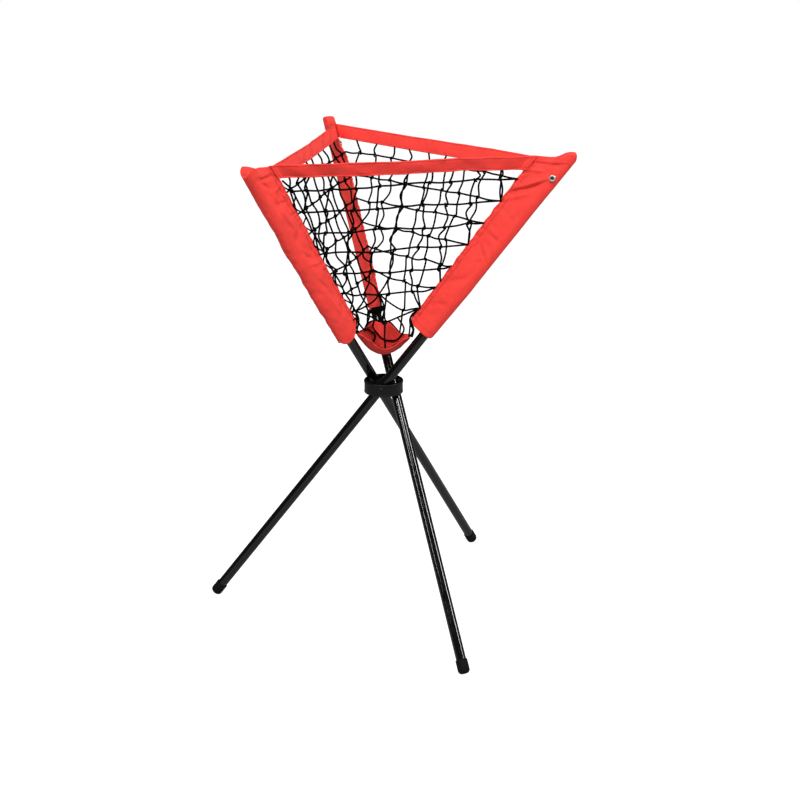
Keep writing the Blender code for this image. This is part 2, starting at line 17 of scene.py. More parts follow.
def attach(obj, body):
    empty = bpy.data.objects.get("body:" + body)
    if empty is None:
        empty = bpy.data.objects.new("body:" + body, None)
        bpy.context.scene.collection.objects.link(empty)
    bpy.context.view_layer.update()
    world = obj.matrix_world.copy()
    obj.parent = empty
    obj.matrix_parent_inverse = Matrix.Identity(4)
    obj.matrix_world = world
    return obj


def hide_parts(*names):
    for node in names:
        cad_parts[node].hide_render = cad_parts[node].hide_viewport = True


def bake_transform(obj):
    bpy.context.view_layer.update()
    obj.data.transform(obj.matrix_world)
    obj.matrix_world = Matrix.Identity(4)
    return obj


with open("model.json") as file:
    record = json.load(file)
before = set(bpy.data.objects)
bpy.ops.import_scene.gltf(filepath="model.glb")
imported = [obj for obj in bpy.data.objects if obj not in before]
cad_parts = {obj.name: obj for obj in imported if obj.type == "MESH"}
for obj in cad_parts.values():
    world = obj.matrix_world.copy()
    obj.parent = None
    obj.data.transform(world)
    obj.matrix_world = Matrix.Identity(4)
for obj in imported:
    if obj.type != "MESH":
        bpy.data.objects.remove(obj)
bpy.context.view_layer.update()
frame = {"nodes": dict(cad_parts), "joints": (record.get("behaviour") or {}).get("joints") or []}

bl_info = {
    "name": "Ball Caddy Looks",
    "version": (1, 0, 0),
    "blender": (4, 5, 0),
    "location": "View3D > Sidebar > Ball Caddy",
    "description": "Fabric, nets, finishes and a stage for a folding ball caddy",
    "category": "Add Mesh",
}

# The legs, taken from the model's own hinges
HINGES = {joint["child"]: joint for joint in frame["joints"]}
LEGS = ("right", "rear", "left")
TILT = radians(HINGES["leg_right"]["range_deg"][1])
HUB = np.mean([HINGES[f"leg_{leg}"]["pos_m"] for leg in LEGS], axis=0)
LEG_OFFSET = float(np.linalg.norm(np.array(HINGES["leg_right"]["pos_m"]) - HUB))
MM = 0.001

# The fabric's layout, as in the model
RIM = 0.911
PIVOT_HEIGHT = float(HUB[2])
TUBE_RADIUS = 0.0095
SLEEVE_RADIUS = 0.0113
SLEEVE_BOTTOM = 0.137
SLEEVE_LENGTH = 0.40
SLEEVE_REACH_TOP = 0.050
SLEEVE_REACH_BOTTOM = 0.038
SLEEVE_CORNER = 0.010
FIN_START = 0.74  # of the way from the tube's axis to the sleeve's inner edge
FIN_HALF = 0.0013
BAND_HEIGHT = 0.025
BAND_REACH = 0.0455  # where a band's end is sewn down
BAND_BEND = SLEEVE_REACH_TOP + 0.0015  # where a band leaves its sleeve
BAND_THICK = 0.0021
PITCH = 0.0445
NET_CLEAR = 0.0021
NET_CORNER = 0.0132
NET_SIDE = 0.0022
NET_FOOT = (0.021, 0.1275)  # reach and place of a net's lower corner
PATCH_TIP = (0.0137, 0.1335)  # reach and place of the patch's corners
PANELS = {"front": ("left", "right"), "right": ("right", "rear"), "left": ("rear", "left")}

# The cloth's thickness, and how far it swells, crumples, puckers and keeps off the tube
PATCH_THICK = 0.0013
SWELL, CRUMPLE, PUCKER = 0.0015, 0.0009, 0.0010
SWELL_SIZE, CRUMPLE_SIZE, PUCKER_SIZE = 0.050, 0.019, 0.010  # from one to the next
TIED, TIED_SIZE = 0.0007, 0.034  # how the net's ties draw the inner edge in and out
CREASE_FACTOR = 2.3  # by which the creases are deeper than in their table
TUBE_CLEAR = 0.0011
# A sleeve's rows, and the last of them: their share of its length, and how far they are drawn in
ROWS = 150
TOP_SHARES = (0.9965, 0.9985, 0.9995, 1.0, 1.0)
TOP_TUCKS = (0.0, 0.0002, 0.0006, 0.0012, 0.0021)

# Where each sleeve's top edge lies along its tube: (reach in from the tube's axis, place) in mm
TOP_EDGE = {
    "left": (
        (-12, 566.5), (-6, 571.5), (3, 575), (9.5, 569), (13, 561), (25, 551.7), (40, 537.8), (51, 528),
    ),
    "right": (
        (-15, 560), (-13.5, 563.5), (-11.3, 567.8), (-8, 569.6), (-4.5, 569.8), (1.6, 565.8), (8, 559.4),
        (10, 556), (13.5, 548.8), (24, 537.6), (40, 527), (51, 520),
    ),
    "rear": ((-12, 571), (-6, 572), (4, 572.5), (9.5, 568), (13, 560), (25, 549), (40, 536), (51, 527)),
}
# How far each band's top edge lies above the rim's level: (share of the way from its first sleeve
# to its second, height in mm)
BAND_RISE = {
    "front": ((0, 2), (0.12, 0), (0.5, -4.5), (0.72, -4), (1, -9)),
    "right": ((0, -8), (0.2, -5), (0.6, -3), (1, 1)),
    "left": ((0, 0), (0.5, -3), (1, 1)),
}
# Creases pressed into a sleeve's faces: side, start and end as (reach, place), width, depth, all in mm
CREASES = {
    "left": (
        (1, (-6, 551), (46, 515), 2.6, -1.5),
        (1, (4, 540), (18, 507), 3.0, -1.2),
        (1, (18, 504), (15, 476), 3.0, 1.3),
        (1, (15, 476), (39, 456), 2.8, -1.3),
        (1, (10, 470), (19, 407), 4.0, 1.2),
        (1, (19, 407), (-9, 381), 3.2, -1.1),
        (1, (20, 500), (42, 490), 2.4, 1.0),
        (1, (22, 436), (44, 424), 2.4, -1.0),
        (1, (-5, 377), (25, 320), 3.4, -1.2),
        (1, (-3, 341), (36, 307), 3.2, 1.1),
        (1, (-8, 327), (17, 233), 3.6, -0.9),
        (1, (24, 300), (40, 262), 2.6, -1.0),
        (1, (-2, 272), (9, 180), 4.0, 0.8),
        (-1, (0, 520), (40, 470), 4.5, -1.2),
        (-1, (4, 400), (38, 340), 5.0, -1.0),
    ),
    "right": (
        (-1, (42, 510), (-3, 542), 2.4, -1.9),
        (-1, (44, 494), (18, 512), 2.2, 1.0),
        (-1, (46, 436), (0, 499), 3.2, -2.4),
        (-1, (42, 452), (4, 510), 2.8, 1.5),
        (-1, (40, 428), (14, 466), 2.6, 1.0),
        (-1, (26, 360), (-11, 361), 1.8, -0.9),
        (-1, (30, 337), (-8, 312), 1.8, -0.9),
        (-1, (0, 280), (34, 230), 6.0, -0.8),
        (-1, (4, 210), (30, 185), 5.0, -0.7),
        (1, (2, 520), (44, 480), 4.0, -1.4),
        (1, (4, 380), (38, 320), 5.0, -1.0),
    ),
    "rear": (
        (1, (-4, 545), (44, 505), 3.0, -1.5),
        (1, (4, 480), (40, 430), 4.0, -1.1),
        (1, (2, 370), (36, 320), 5.0, -0.9),
        (-1, (0, 530), (44, 490), 3.5, -1.4),
        (-1, (4, 440), (40, 390), 4.5, -1.1),
        (-1, (2, 300), (34, 250), 5.0, -0.9),
    ),
}
# How far each sleeve's cloth hangs out beyond its tube's axis: (place, reach) in mm
OUTER = {
    "left": ((137, 25), (266, 23.5), (452, 16.5), (540, 12.5), (575, 12)),
    "right": ((137, 15.5), (234, 17), (411, 14.8), (520, 15), (565, 15)),
    "rear": ((137, 13), (565, 12.5)),
}
# How far each sleeve's inner edge lies in from the tube's axis: (place, reach) in mm
INNER = {
    "left": ((137, 33.5), (266, 38.7), (452, 47.3), (531, 50)),
    "right": ((137, 38), (531, 50)),
    "rear": ((137, 38), (531, 50)),
}
# The lower hem in mm: its place outside the tube and at the fin, then the run and rise of its
# rounded corners at the fin and outside
HEM = {
    "left": (133, 133, 17, 15, 18, 19),
    "right": (134, 134, 15, 12, 9, 8),
    "rear": (151, 137, 8, 4, 6, 3),
}
CORNER_PULL = {"rear": 0.0105}  # how far the bands pull a sleeve's top corner sideways
LOOSE = {"left": 1.0, "right": 0.4, "rear": 0.8}  # how crumpled each sleeve is
# A band's section: (share of its height, how far each face stands out)
BAND_SECTION = (
    (0, 0), (0.012, 0.7), (0.045, 1.05), (0.085, 0.95), (0.12, 0.6), (0.155, 0.86), (0.3, 1), (0.5, 1),
    (0.7, 1), (0.83, 0.9), (0.86, 0.62), (0.895, 1.3), (0.94, 1.6), (0.98, 1.25), (1, 0),
)
# Waves that the bands and the patch hang in: how far apart, how high, and a seed, which a band
# adds to its own
BAND_WAVES = ((0.055, 0.0013, 0), (0.017, 0.0005, 3))
PATCH_WAVES = ((0.040, 0.0014, 51), (0.014, 0.0006, 52))
# The floor patch's rim, round the hub's axis: (direction in degrees, radius, height over the pivots)
# in mm. It reaches out along the legs and hangs lowest at the front.
PATCH_RIM = (
    (-165.7, 66, 111), (-150, 47, 99), (-128, 36, 82), (-105.7, 33.5, 78), (-84, 35, 82),
    (-62, 46, 95), (-45.7, 60, 103), (-28, 44, 98), (0, 36, 93.5), (18, 36, 94), (45, 41, 107),
    (74.3, 56, 107.5), (98, 49, 109), (134.3, 36.5, 102), (170, 46, 106),
)
PATCH_LOW = 0.059  # of the patch's middle, over the pivots

LACED = {("front", 0)}  # net edges that are laced on; elsewhere the sleeve's hem holds the cords
LACE_STEP = 0.0205  # from one turn of the lacing to the next
EDGE_OFF, LACED_OFF = 0.0035, 0.0095  # how far an edge cord stands off its sleeve at the rim
EDGE_STEPS = 34  # of an edge cord down a net's side
HELD_STEPS = 29  # of these that lie hidden in the hem of a sleeve that isn't laced
KNOT_STRAY = (0.0036, 0.0018, 0.0024)  # of a knot across, down and out of its net
KNOT_SHARE = 0.3  # of a square, the least room beside a sleeve for a knot
SAG = 0.0012  # of a row's cord between two knots
BAND_HOLD = (0.93, 1.03)  # where a cord is sewn in and leaves the band, as shares of its height
# Parts of the cord's thickness: a wrap's distance from its knot, and the wraps' and lacing's radius
WRAP_REACH, WRAP_RADIUS, LACE_RADIUS = 0.76, 0.36, 0.42
# Slack cords of the front net that lie in the patch, as (direction, share of the way to the rim)
SLACK_LEFT = ((151, 1.0), (127, 0.94), (101, 0.77), (104, 0.66), (146, 0.62))
SLACK_RIGHT = ((98, 0.9), (90, 0.75), (70, 0.59), (37, 0.61), (0, 0.8), (-14, 0.98))
# Layers of the rear lashing: turns, how far off the cloth, rise with each turn
LASHING = ((2.3, 0.0014, 0.0033), (1.2, 0.0034, 0.0040))
LASHING_PLACE = 0.1425  # along the rear tube
LASHING_SLANT = 0.28  # how much lower it lies for each metre in from the tube
# Strands from the lashing to the patch: reach and side of the start, direction of the end in degrees
STRANDS = ((-0.006, 0.012, 116), (0.036, -0.003, 60))
# A corner tie's way round its sleeve's inner edge: reach in from the edge, side, place
TIE_SPOTS = (
    (-0.006, 0.0022, 0.152), (0.001, 0.0005, 0.149), (0.001, -0.0006, 0.141), (-0.006, -0.0010, 0.131),
)
# The rivets' rolled rims, and the near-black dishes of painted shade inside them: radii, and how far they
# stand out
EYELET_RADIUS, EYELET_ROLL = 0.0043, 0.0013
HOLLOW_RADII, HOLLOW_RISE = (0.0, 0.0016, 0.0031), (0.0, 0.0002, 0.0007)

BLACKENED = (0.012, 0.012, 0.013)
DARK_NYLON = (0.008, 0.008, 0.008)
# Painted shade: the near-black that stands in for the shade deep inside each rivet's hole.
HOLLOW_SHADE = (0.02, 0.02, 0.02)

# The photograph's camera: what it looks at, how far it leans and its sensor in millimetres
AIM = (-0.0177276, -0.1515714, 0.4733055)
CAMERA_ROLL = radians(0.166)
SENSOR = 36.0
FLOOR_HALF = 9.0
FLOOR_GLOW = 0.9  # what the camera sees of the floor beside the object's shadow
# The world: its strength for the camera and for other rays, and what reflections lose
WORLD_SEEN, WORLD_LIGHT, WORLD_DIMMED = 1.0, 0.35, 0.3
KEY_LIGHT = ((2.0, -1.8, 2.25), (0, 0, 0.5), (0.28, 1.3))
# Other lights: name, place, aim, size and power
SIDE_LIGHTS = (
    ("top", (-1.2, -1.9, 3.6), (0, 0, 0.6), (1.0, 1.0), 110.0),
    ("left", (-2.6, -1.13, 2.0), (0, 0, 0.5), (0.12, 1.0), 17.0),
)


# Settings


class CaddyStageSettings(bpy.types.PropertyGroup):
    """Where the camera stands, the floor and the main light"""

    distance: bpy.props.FloatProperty(
        name="Camera Distance", description="From what the camera looks at",
        default=2.728, unit="LENGTH",
    )
    azimuth: bpy.props.FloatProperty(
        name="Azimuth", description="Of the camera, from the front towards the right",
        default=radians(-22.787), subtype="ANGLE",
    )
    elevation: bpy.props.FloatProperty(
        name="Elevation", description="How far the camera looks down",
        default=radians(18.981), subtype="ANGLE",
    )
    lens: bpy.props.FloatProperty(
        name="Lens", description="Focal length of the camera in millimetres", default=67.507,
        unit="CAMERA",
    )
    floor_colour: bpy.props.FloatVectorProperty(
        name="Floor", description="Colour of the floor", subtype="COLOR", size=3,
        default=(0.40, 0.40, 0.40), min=0, max=1,
    )
    key_power: bpy.props.FloatProperty(
        name="Key Light", description="Power of the main light", default=52.0, unit="POWER",
    )


class CaddyClothSettings(bpy.types.PropertyGroup):
    """The red nylon and its stitches"""

    red: bpy.props.FloatVectorProperty(
        name="Cloth", description="Colour of the nylon", subtype="COLOR", size=3,
        default=(0.90, 0.050, 0.038), min=0, max=1,
    )
    thread: bpy.props.FloatProperty(
        name="Thread Pitch", description="Distance between the weave's threads",
        default=0.00062, unit="LENGTH", precision=5,
    )
    thickness: bpy.props.FloatProperty(
        name="Cloth Thickness", description="Thickness of one layer", default=0.0009,
        unit="LENGTH", precision=5,
    )
    stitch: bpy.props.FloatProperty(
        name="Stitch Length", description="Length of a stitch in a hem", default=0.0033,
        unit="LENGTH", precision=5,
    )
    thread_red: bpy.props.FloatVectorProperty(
        name="Sewing Thread", description="Colour of the sewing thread", subtype="COLOR", size=3,
        default=(0.50, 0.022, 0.020), min=0, max=1,
    )


class CaddyNetSettings(bpy.types.PropertyGroup):
    """The knotted cord"""

    cord: bpy.props.FloatProperty(
        name="Cord", description="Diameter of the net's cord", default=0.0036,
        unit="LENGTH", precision=5,
    )
    slack: bpy.props.FloatProperty(
        name="Slack", description="How far a cord strays between two knots", default=0.0034,
        unit="LENGTH", precision=5,
    )
    colour: bpy.props.FloatVectorProperty(
        name="Cord Colour", description="Colour of the net's cord", subtype="COLOR", size=3,
        default=(0.0020, 0.0020, 0.0022), min=0, max=1,
    )
    seed: bpy.props.IntProperty(
        name="Seed", description="Another number lays the net's slack another way", default=7,
        min=0, subtype="UNSIGNED",
    )


class CaddyFinishSettings(bpy.types.PropertyGroup):
    """The hard parts' colours"""

    paint: bpy.props.FloatVectorProperty(
        name="Tube Paint", description="Colour of the tubes' paint", subtype="COLOR", size=3,
        default=(0.0020, 0.0020, 0.0022), min=0, max=1,
    )
    plastic: bpy.props.FloatVectorProperty(
        name="Plastic", description="Colour of the hub and plugs", subtype="COLOR", size=3,
        default=(0.0045, 0.0045, 0.0048), min=0, max=1,
    )
    rubber: bpy.props.FloatVectorProperty(
        name="Rubber", description="Colour of the feet", subtype="COLOR", size=3,
        default=(0.0042, 0.0042, 0.0042), min=0, max=1,
    )
    nickel: bpy.props.FloatVectorProperty(
        name="Nickel", description="Colour of the rivets", subtype="COLOR", size=3,
        default=(0.66, 0.65, 0.63), min=0, max=1,
    )


class CaddySettings(bpy.types.PropertyGroup):
    """All of the caddy's settings"""

    stage: bpy.props.PointerProperty(type=CaddyStageSettings, name="Stage", description="Camera and light")
    cloth: bpy.props.PointerProperty(type=CaddyClothSettings, name="Cloth", description="Red nylon")
    net: bpy.props.PointerProperty(type=CaddyNetSettings, name="Net", description="Knotted cord")
    finish: bpy.props.PointerProperty(type=CaddyFinishSettings, name="Finish", description="Hard parts")


def settings():
    """The add-on's settings in this scene."""
    return bpy.context.scene.ball_caddy


# Places


def on_leg(leg, reach, side, place):
    """Points in space: reach in from a tube's axis, side along its hinge, place up the tube."""
    hinge = HINGES[f"leg_{leg}"]
    across = -np.array(hinge["axis"], float)
    spread = np.cross(across, (0, 0, 1))
    along = spread * sin(TILT) + np.array((0, 0, cos(TILT)))
    outward = spread * cos(TILT) - np.array((0, 0, sin(TILT)))
    point = np.array(hinge["pos_m"], float) + np.multiply.outer(place, along)
    return point - np.multiply.outer(reach, outward) + np.multiply.outer(side, across)


def on_cloth(leg, reach, side, place):
    """As on_leg, with the sleeve's top corner pulled to where the bands hold it."""
    pull = smooth((np.asarray(reach) - 0.010) / 0.036) * smooth((np.asarray(place) - 0.455) / 0.045)
    return on_leg(leg, reach, side + CORNER_PULL.get(leg, 0) * pull, place)


def read_off(table, place):
    """A value from a table of (place, value) in mm."""
    table = np.array(table) * MM
    return np.interp(place, table[:, 0], table[:, 1])


def level_place(reach, height):
    """The place along a tube where a line, reach in from its axis, is at a height."""
    return (height - PIVOT_HEIGHT - reach * sin(TILT)) / cos(TILT)


def sleeve_reach(place):
    """From the tube's axis to the sleeve's inner edge."""
    top = level_place(SLEEVE_REACH_TOP, RIM)
    share = (place - SLEEVE_BOTTOM) / (top - SLEEVE_BOTTOM)
    return SLEEVE_REACH_BOTTOM + share * (SLEEVE_REACH_TOP - SLEEVE_REACH_BOTTOM)


def smooth(share):
    """Eased from 0 to 1, and held there outside."""
    share = np.clip(share, 0, 1)
    return share * share * (3 - 2 * share)


def ripple(points, size, seed, waves=14):
    """A smooth irregular height, mostly between -1 and 1, whose swells are about size apart."""
    draw = np.random.default_rng(seed)
    points = np.asarray(points, float)
    total = np.zeros(points.shape[:-1])
    for _ in range(waves):
        way = draw.normal(size=points.shape[-1])
        way *= 2 * pi / size * draw.uniform(0.6, 1.5) / np.linalg.norm(way)
        total += np.sin(points @ way + draw.uniform(0, 2 * pi))
    return total * sqrt(0.5 / waves)


def spline(points, steps):
    """A smooth line through points, with steps between each two."""
    points = np.asarray(points, float)
    padded = np.vstack((2 * points[0] - points[1], points, 2 * points[-1] - points[-2]))
    line = []
    for a, b, c, d in zip(padded, padded[1:], padded[2:], padded[3:]):
        for step in range(steps):
            t = step / steps
            line.append(
                b + 0.5 * t * (c - a + t * (2 * a - 5 * b + 4 * c - d + t * (3 * (b - c) + d - a)))
            )
    return np.array(line + [points[-1]])


def lengths(points):
    """Distance along a line at each of its points."""
    steps = np.linalg.norm(np.diff(points, axis=0), axis=1)
    return np.concatenate(([0.0], np.cumsum(steps)))


# Meshes


class Shape:
    """Vertices, faces and cloth coordinates of one piece as it grows."""

    def __init__(self):
        self.points, self.faces, self.marks = [], [], []

    def add(self, points, faces, marks):
        """Add points, faces numbered from the first of them, and the corners' cloth coordinates."""
        start = len(self.points)
        self.points.extend(map(tuple, np.asarray(points).reshape(-1, 3)))
        self.faces.extend([start + corner for corner in face] for face in faces)
        self.marks.extend(marks)

    def grid(self, points, marks, wrap=False):
        """A sheet of quads over rows of points. marks has one column more where it wraps."""
        rows, columns = points.shape[:2]
        faces, corners = [], []
        for r in range(rows - 1):
            for c in range(columns if wrap else columns - 1):
                d = (c + 1) % columns
                here, above = r * columns, (r + 1) * columns
                faces.append((here + c, here + d, above + d, above + c))
                corners.append((marks[r, c], marks[r, c + 1], marks[r + 1, c + 1], marks[r + 1, c]))
        self.add(points, faces, corners)

    def tube(self, line, radius, sides=7, lay=0.0):
        """A cord along a line, closed at both ends. lay turns its strands round it."""
        line = np.asarray(line, float)
        ways = np.gradient(line, axis=0)
        ways /= np.linalg.norm(ways, axis=1)[:, None] + 1e-12
        normal = np.cross(ways[0], (0.31, 0.17, 0.94))
        far = lengths(line)
        turn = np.arange(sides) * 2 * pi / sides
        rings = []
        for way, centre in zip(ways, line):
            normal = normal - way * (normal @ way)
            normal /= np.linalg.norm(normal) + 1e-12
            other = np.cross(way, normal)
            rings.append(
                centre + radius * (np.outer(np.cos(turn), normal) + np.outer(np.sin(turn), other))
            )
        rings = np.array(rings)
        round_it = np.arange(sides + 1) / sides + lay
        marks = np.stack(np.broadcast_arrays(round_it[None, :], far[:, None]), axis=-1)
        self.grid(rings, marks, wrap=True)
        start = len(self.points) - rings.shape[0] * sides
        for ring, order in ((0, 1), (len(rings) - 1, -1)):
            face = [start + ring * sides + k for k in range(sides)][::-order]
            self.faces.append(face)
            self.marks.append([(round_it[k], far[ring]) for k in range(sides)])

    def piece(self, name, paint, smooth_all=True):
        """The finished object, with its cloth coordinates as a UV map."""
        data = bpy.data.meshes.new(name)
        data.from_pydata(self.points, [], self.faces)
        layer = data.uv_layers.new(name="cloth")
        flat = [value for face in self.marks for corner in face for value in corner]
        layer.data.foreach_set("uv", flat)
        data.materials.append(paint)
        if smooth_all:
            data.shade_smooth()
            sharpen_caps(data)
        made = bpy.data.objects.new(name, data)
        bpy.context.scene.collection.objects.link(made)
        return made


def sharpen_caps(data):
    """Keep the flat ends out of the smooth shading."""
    edges = {tuple(sorted(edge.vertices)): edge.index for edge in data.edges}
    sharp = np.zeros(len(data.edges), bool)
    for face in data.polygons:
        if len(face.vertices) > 4:
            for key in face.edge_keys:
                sharp[edges[tuple(sorted(key))]] = True
    mark = data.attributes.new("sharp_edge", "BOOLEAN", "EDGE")
    mark.data.foreach_set("value", sharp)


def tidy_normals(made, merge=False):
    """Turn every face outwards, after joining the points that lie on each other if merge is true."""
    shape = bmesh.new()
    shape.from_mesh(made.data)
    if merge:
        bmesh.ops.remove_doubles(shape, verts=shape.verts, dist=1e-6)
    bmesh.ops.recalc_face_normals(shape, faces=shape.faces)
    shape.to_mesh(made.data)
    shape.free()


def stitches(shape, line, ups, length):
    """Stitches along a line that lies on cloth; ups are the cloth's normals there."""
    radius, gap = 0.00042, 0.3
    far = lengths(line)
    count = int(far[-1] / length)
    for k in range(count):
        ends = np.array([k + gap / 2, k + 0.3, k + 0.5, k + 0.7, k + 1 - gap / 2]) * far[-1] / count
        spots = np.stack([np.interp(ends, far, line[:, axis]) for axis in range(3)], axis=-1)
        rise = np.stack([np.interp(ends, far, ups[:, axis]) for axis in range(3)], axis=-1)
        height = np.array((-0.0004, 0.0001, 0.0002, 0.0001, -0.0004))
        shape.tube(spots + rise * height[:, None], radius, sides=5)


# Materials


def effect(name, inputs, outputs):
    """A new shader group with named sockets: (name, kind, default)."""
    tree = bpy.data.node_groups.new(name, "ShaderNodeTree")
    for label, kind, value in inputs:
        socket = tree.interface.new_socket(label, in_out="INPUT", socket_type=kind)
        socket.default_value = value
    for label, kind in outputs:
        tree.interface.new_socket(label, in_out="OUTPUT", socket_type=kind)
    return tree, tree.nodes.new("NodeGroupInput"), tree.nodes.new("NodeGroupOutput")


class Wiring:
    """Short calls for the nodes and links of one tree."""

    def __init__(self, tree):
        self.tree = tree

    def node(self, kind, **options):
        """A new node of a kind, with its options set."""
        made = self.tree.nodes.new(kind)
        for name, value in options.items():
            setattr(made, name, value)
        return made

    def feed(self, socket, value):
        """Link another node's output to a socket, or set the socket's own value."""
        if isinstance(value, bpy.types.NodeSocket):
            self.tree.links.new(value, socket)
        else:
            socket.default_value = value

    def maths(self, operation, *values):
        """The result of one operation on numbers or outputs."""
        made = self.node("ShaderNodeMath", operation=operation)
        for socket, value in zip(made.inputs, values):
            self.feed(socket, value)
        return made.outputs[0]

    def noise(self, place, scale, detail=2.0, roughness=0.5):
        """Soft noise, mostly between 0.3 and 0.7."""
        made = self.node("ShaderNodeTexNoise")
        self.feed(made.inputs["Vector"], place)
        self.feed(made.inputs["Scale"], scale)
        made.inputs["Detail"].default_value = detail
        made.inputs["Roughness"].default_value = roughness
        return made.outputs["Fac"]

    def spread(self, value, low, high, to_low, to_high):
        """A value carried over from one range to another and held at its ends."""
        made = self.node("ShaderNodeMapRange")
        for socket, given in zip(made.inputs, (value, low, high, to_low, to_high)):
            self.feed(socket, given)
        return made.outputs[0]

    def blend(self, share, first, second):
        """A mix of two colours."""
        made = self.node("ShaderNodeMix", data_type="RGBA")
        self.feed(made.inputs[0], share)
        self.feed(made.inputs[6], first)
        self.feed(made.inputs[7], second)
        return made.outputs[2]

    def stretched(self, place, scale):
        """Coordinates scaled along each axis."""
        made = self.node("ShaderNodeMapping")
        self.feed(made.inputs["Vector"], place)
        made.inputs["Scale"].default_value = scale
        return made.outputs[0]


COLOUR, VALUE = "NodeSocketColor", "NodeSocketFloat"


def woven_nylon():
    """Plain weave, read from the cloth coordinates in metres, with soft creases, and painted shade between
    the threads and in the creases' hollows.
    """
    tree, given, out = effect(
        "woven_nylon",
        (("Colour", COLOUR, (0.8, 0.05, 0.04, 1)), ("Thread Pitch", VALUE, 0.0006),
         ("Crease Size", VALUE, 26.0), ("Roughness", VALUE, 0.6)),
        (("Colour", COLOUR), ("Roughness", VALUE), ("Height", VALUE)),
    )
    w = Wiring(tree)
    cloth = w.node("ShaderNodeUVMap", uv_map="cloth").outputs[0]
    split = w.node("ShaderNodeSeparateXYZ")
    w.feed(split.inputs[0], cloth)
    turn = w.maths("DIVIDE", pi, given.outputs["Thread Pitch"])
    warp = w.maths("SINE", w.maths("MULTIPLY", split.outputs[0], turn))
    weft = w.maths("SINE", w.maths("MULTIPLY", split.outputs[1], turn))
    over = w.maths("GREATER_THAN", w.maths("MULTIPLY", warp, weft), 0.0)
    warp_up = w.maths("MULTIPLY", w.maths("ABSOLUTE", warp), over)
    weft_up = w.maths("MULTIPLY", w.maths("ABSOLUTE", weft), w.maths("SUBTRACT", 1.0, over))
    thread = w.maths("SQRT", w.maths("ADD", warp_up, weft_up))
    soft = w.noise(cloth, given.outputs["Crease Size"], 3.0, 0.55)
    ridges = w.noise(w.stretched(cloth, (1.0, 0.35, 1.0)), 90.0, 2.0, 0.6)
    # Painted shade: the colour darkens where the threads dip and in the creases' hollows, and lightens a
    # little on their crowns.
    painted_shade = w.maths("ADD", w.spread(thread, 0.0, 1.0, 0.84, 1.0), w.spread(soft, 0.3, 0.7, -0.05, 0.04))
    tone = w.node("ShaderNodeHueSaturation")
    w.feed(tone.inputs["Value"], painted_shade)
    w.feed(tone.inputs["Color"], given.outputs["Colour"])
    w.feed(out.inputs["Colour"], tone.outputs[0])
    uneven = w.spread(soft, 0.3, 0.7, -0.07, 0.07)
    w.feed(out.inputs["Roughness"], w.maths("ADD", given.outputs["Roughness"], uneven))
    small = w.maths("MULTIPLY", thread, 0.00012)
    creases = w.maths("MULTIPLY", w.maths("ADD", soft, w.maths("MULTIPLY", ridges, 0.35)), 0.0016)
    w.feed(out.inputs["Height"], w.maths("ADD", small, creases))
    return tree


def twisted_cord():
    """Three strands laid round each other; the cord's coordinates give round and along."""
    tree, given, out = effect(
        "twisted_cord",
        (("Colour", COLOUR, (0.01, 0.01, 0.01, 1)), ("Lay Length", VALUE, 0.0066),
         ("Strands", VALUE, 3.0)),
        (("Colour", COLOUR), ("Roughness", VALUE), ("Height", VALUE)),
    )
    w = Wiring(tree)
    cloth = w.node("ShaderNodeUVMap", uv_map="cloth").outputs[0]
    split = w.node("ShaderNodeSeparateXYZ")
    w.feed(split.inputs[0], cloth)
    round_it = w.maths("MULTIPLY", split.outputs[0], given.outputs["Strands"])
    along = w.maths("DIVIDE", split.outputs[1], given.outputs["Lay Length"])
    phase = w.maths("MULTIPLY", w.maths("ADD", round_it, along), pi)
    strand = w.maths("ABSOLUTE", w.maths("SINE", phase))
    fibre = w.noise(w.stretched(cloth, (6.0, 900.0, 1.0)), 1.0, 2.0, 0.6)
    dust = w.noise(w.stretched(cloth, (1.0, 60.0, 1.0)), 1.0, 2.0, 0.5)
    tone = w.node("ShaderNodeHueSaturation")
    lit, dusty = w.spread(strand, 0.0, 1.0, 0.55, 1.15), w.spread(dust, 0.3, 0.8, -0.2, 0.7)
    w.feed(tone.inputs["Value"], w.maths("ADD", lit, dusty))
    w.feed(tone.inputs["Color"], given.outputs["Colour"])
    w.feed(out.inputs["Colour"], tone.outputs[0])
    w.feed(out.inputs["Roughness"], w.spread(fibre, 0.3, 0.7, 0.62, 0.86))
    rise = w.maths("ADD", w.maths("MULTIPLY", strand, 0.0005), w.maths("MULTIPLY", fibre, 0.0002))
    w.feed(out.inputs["Height"], rise)
    return tree


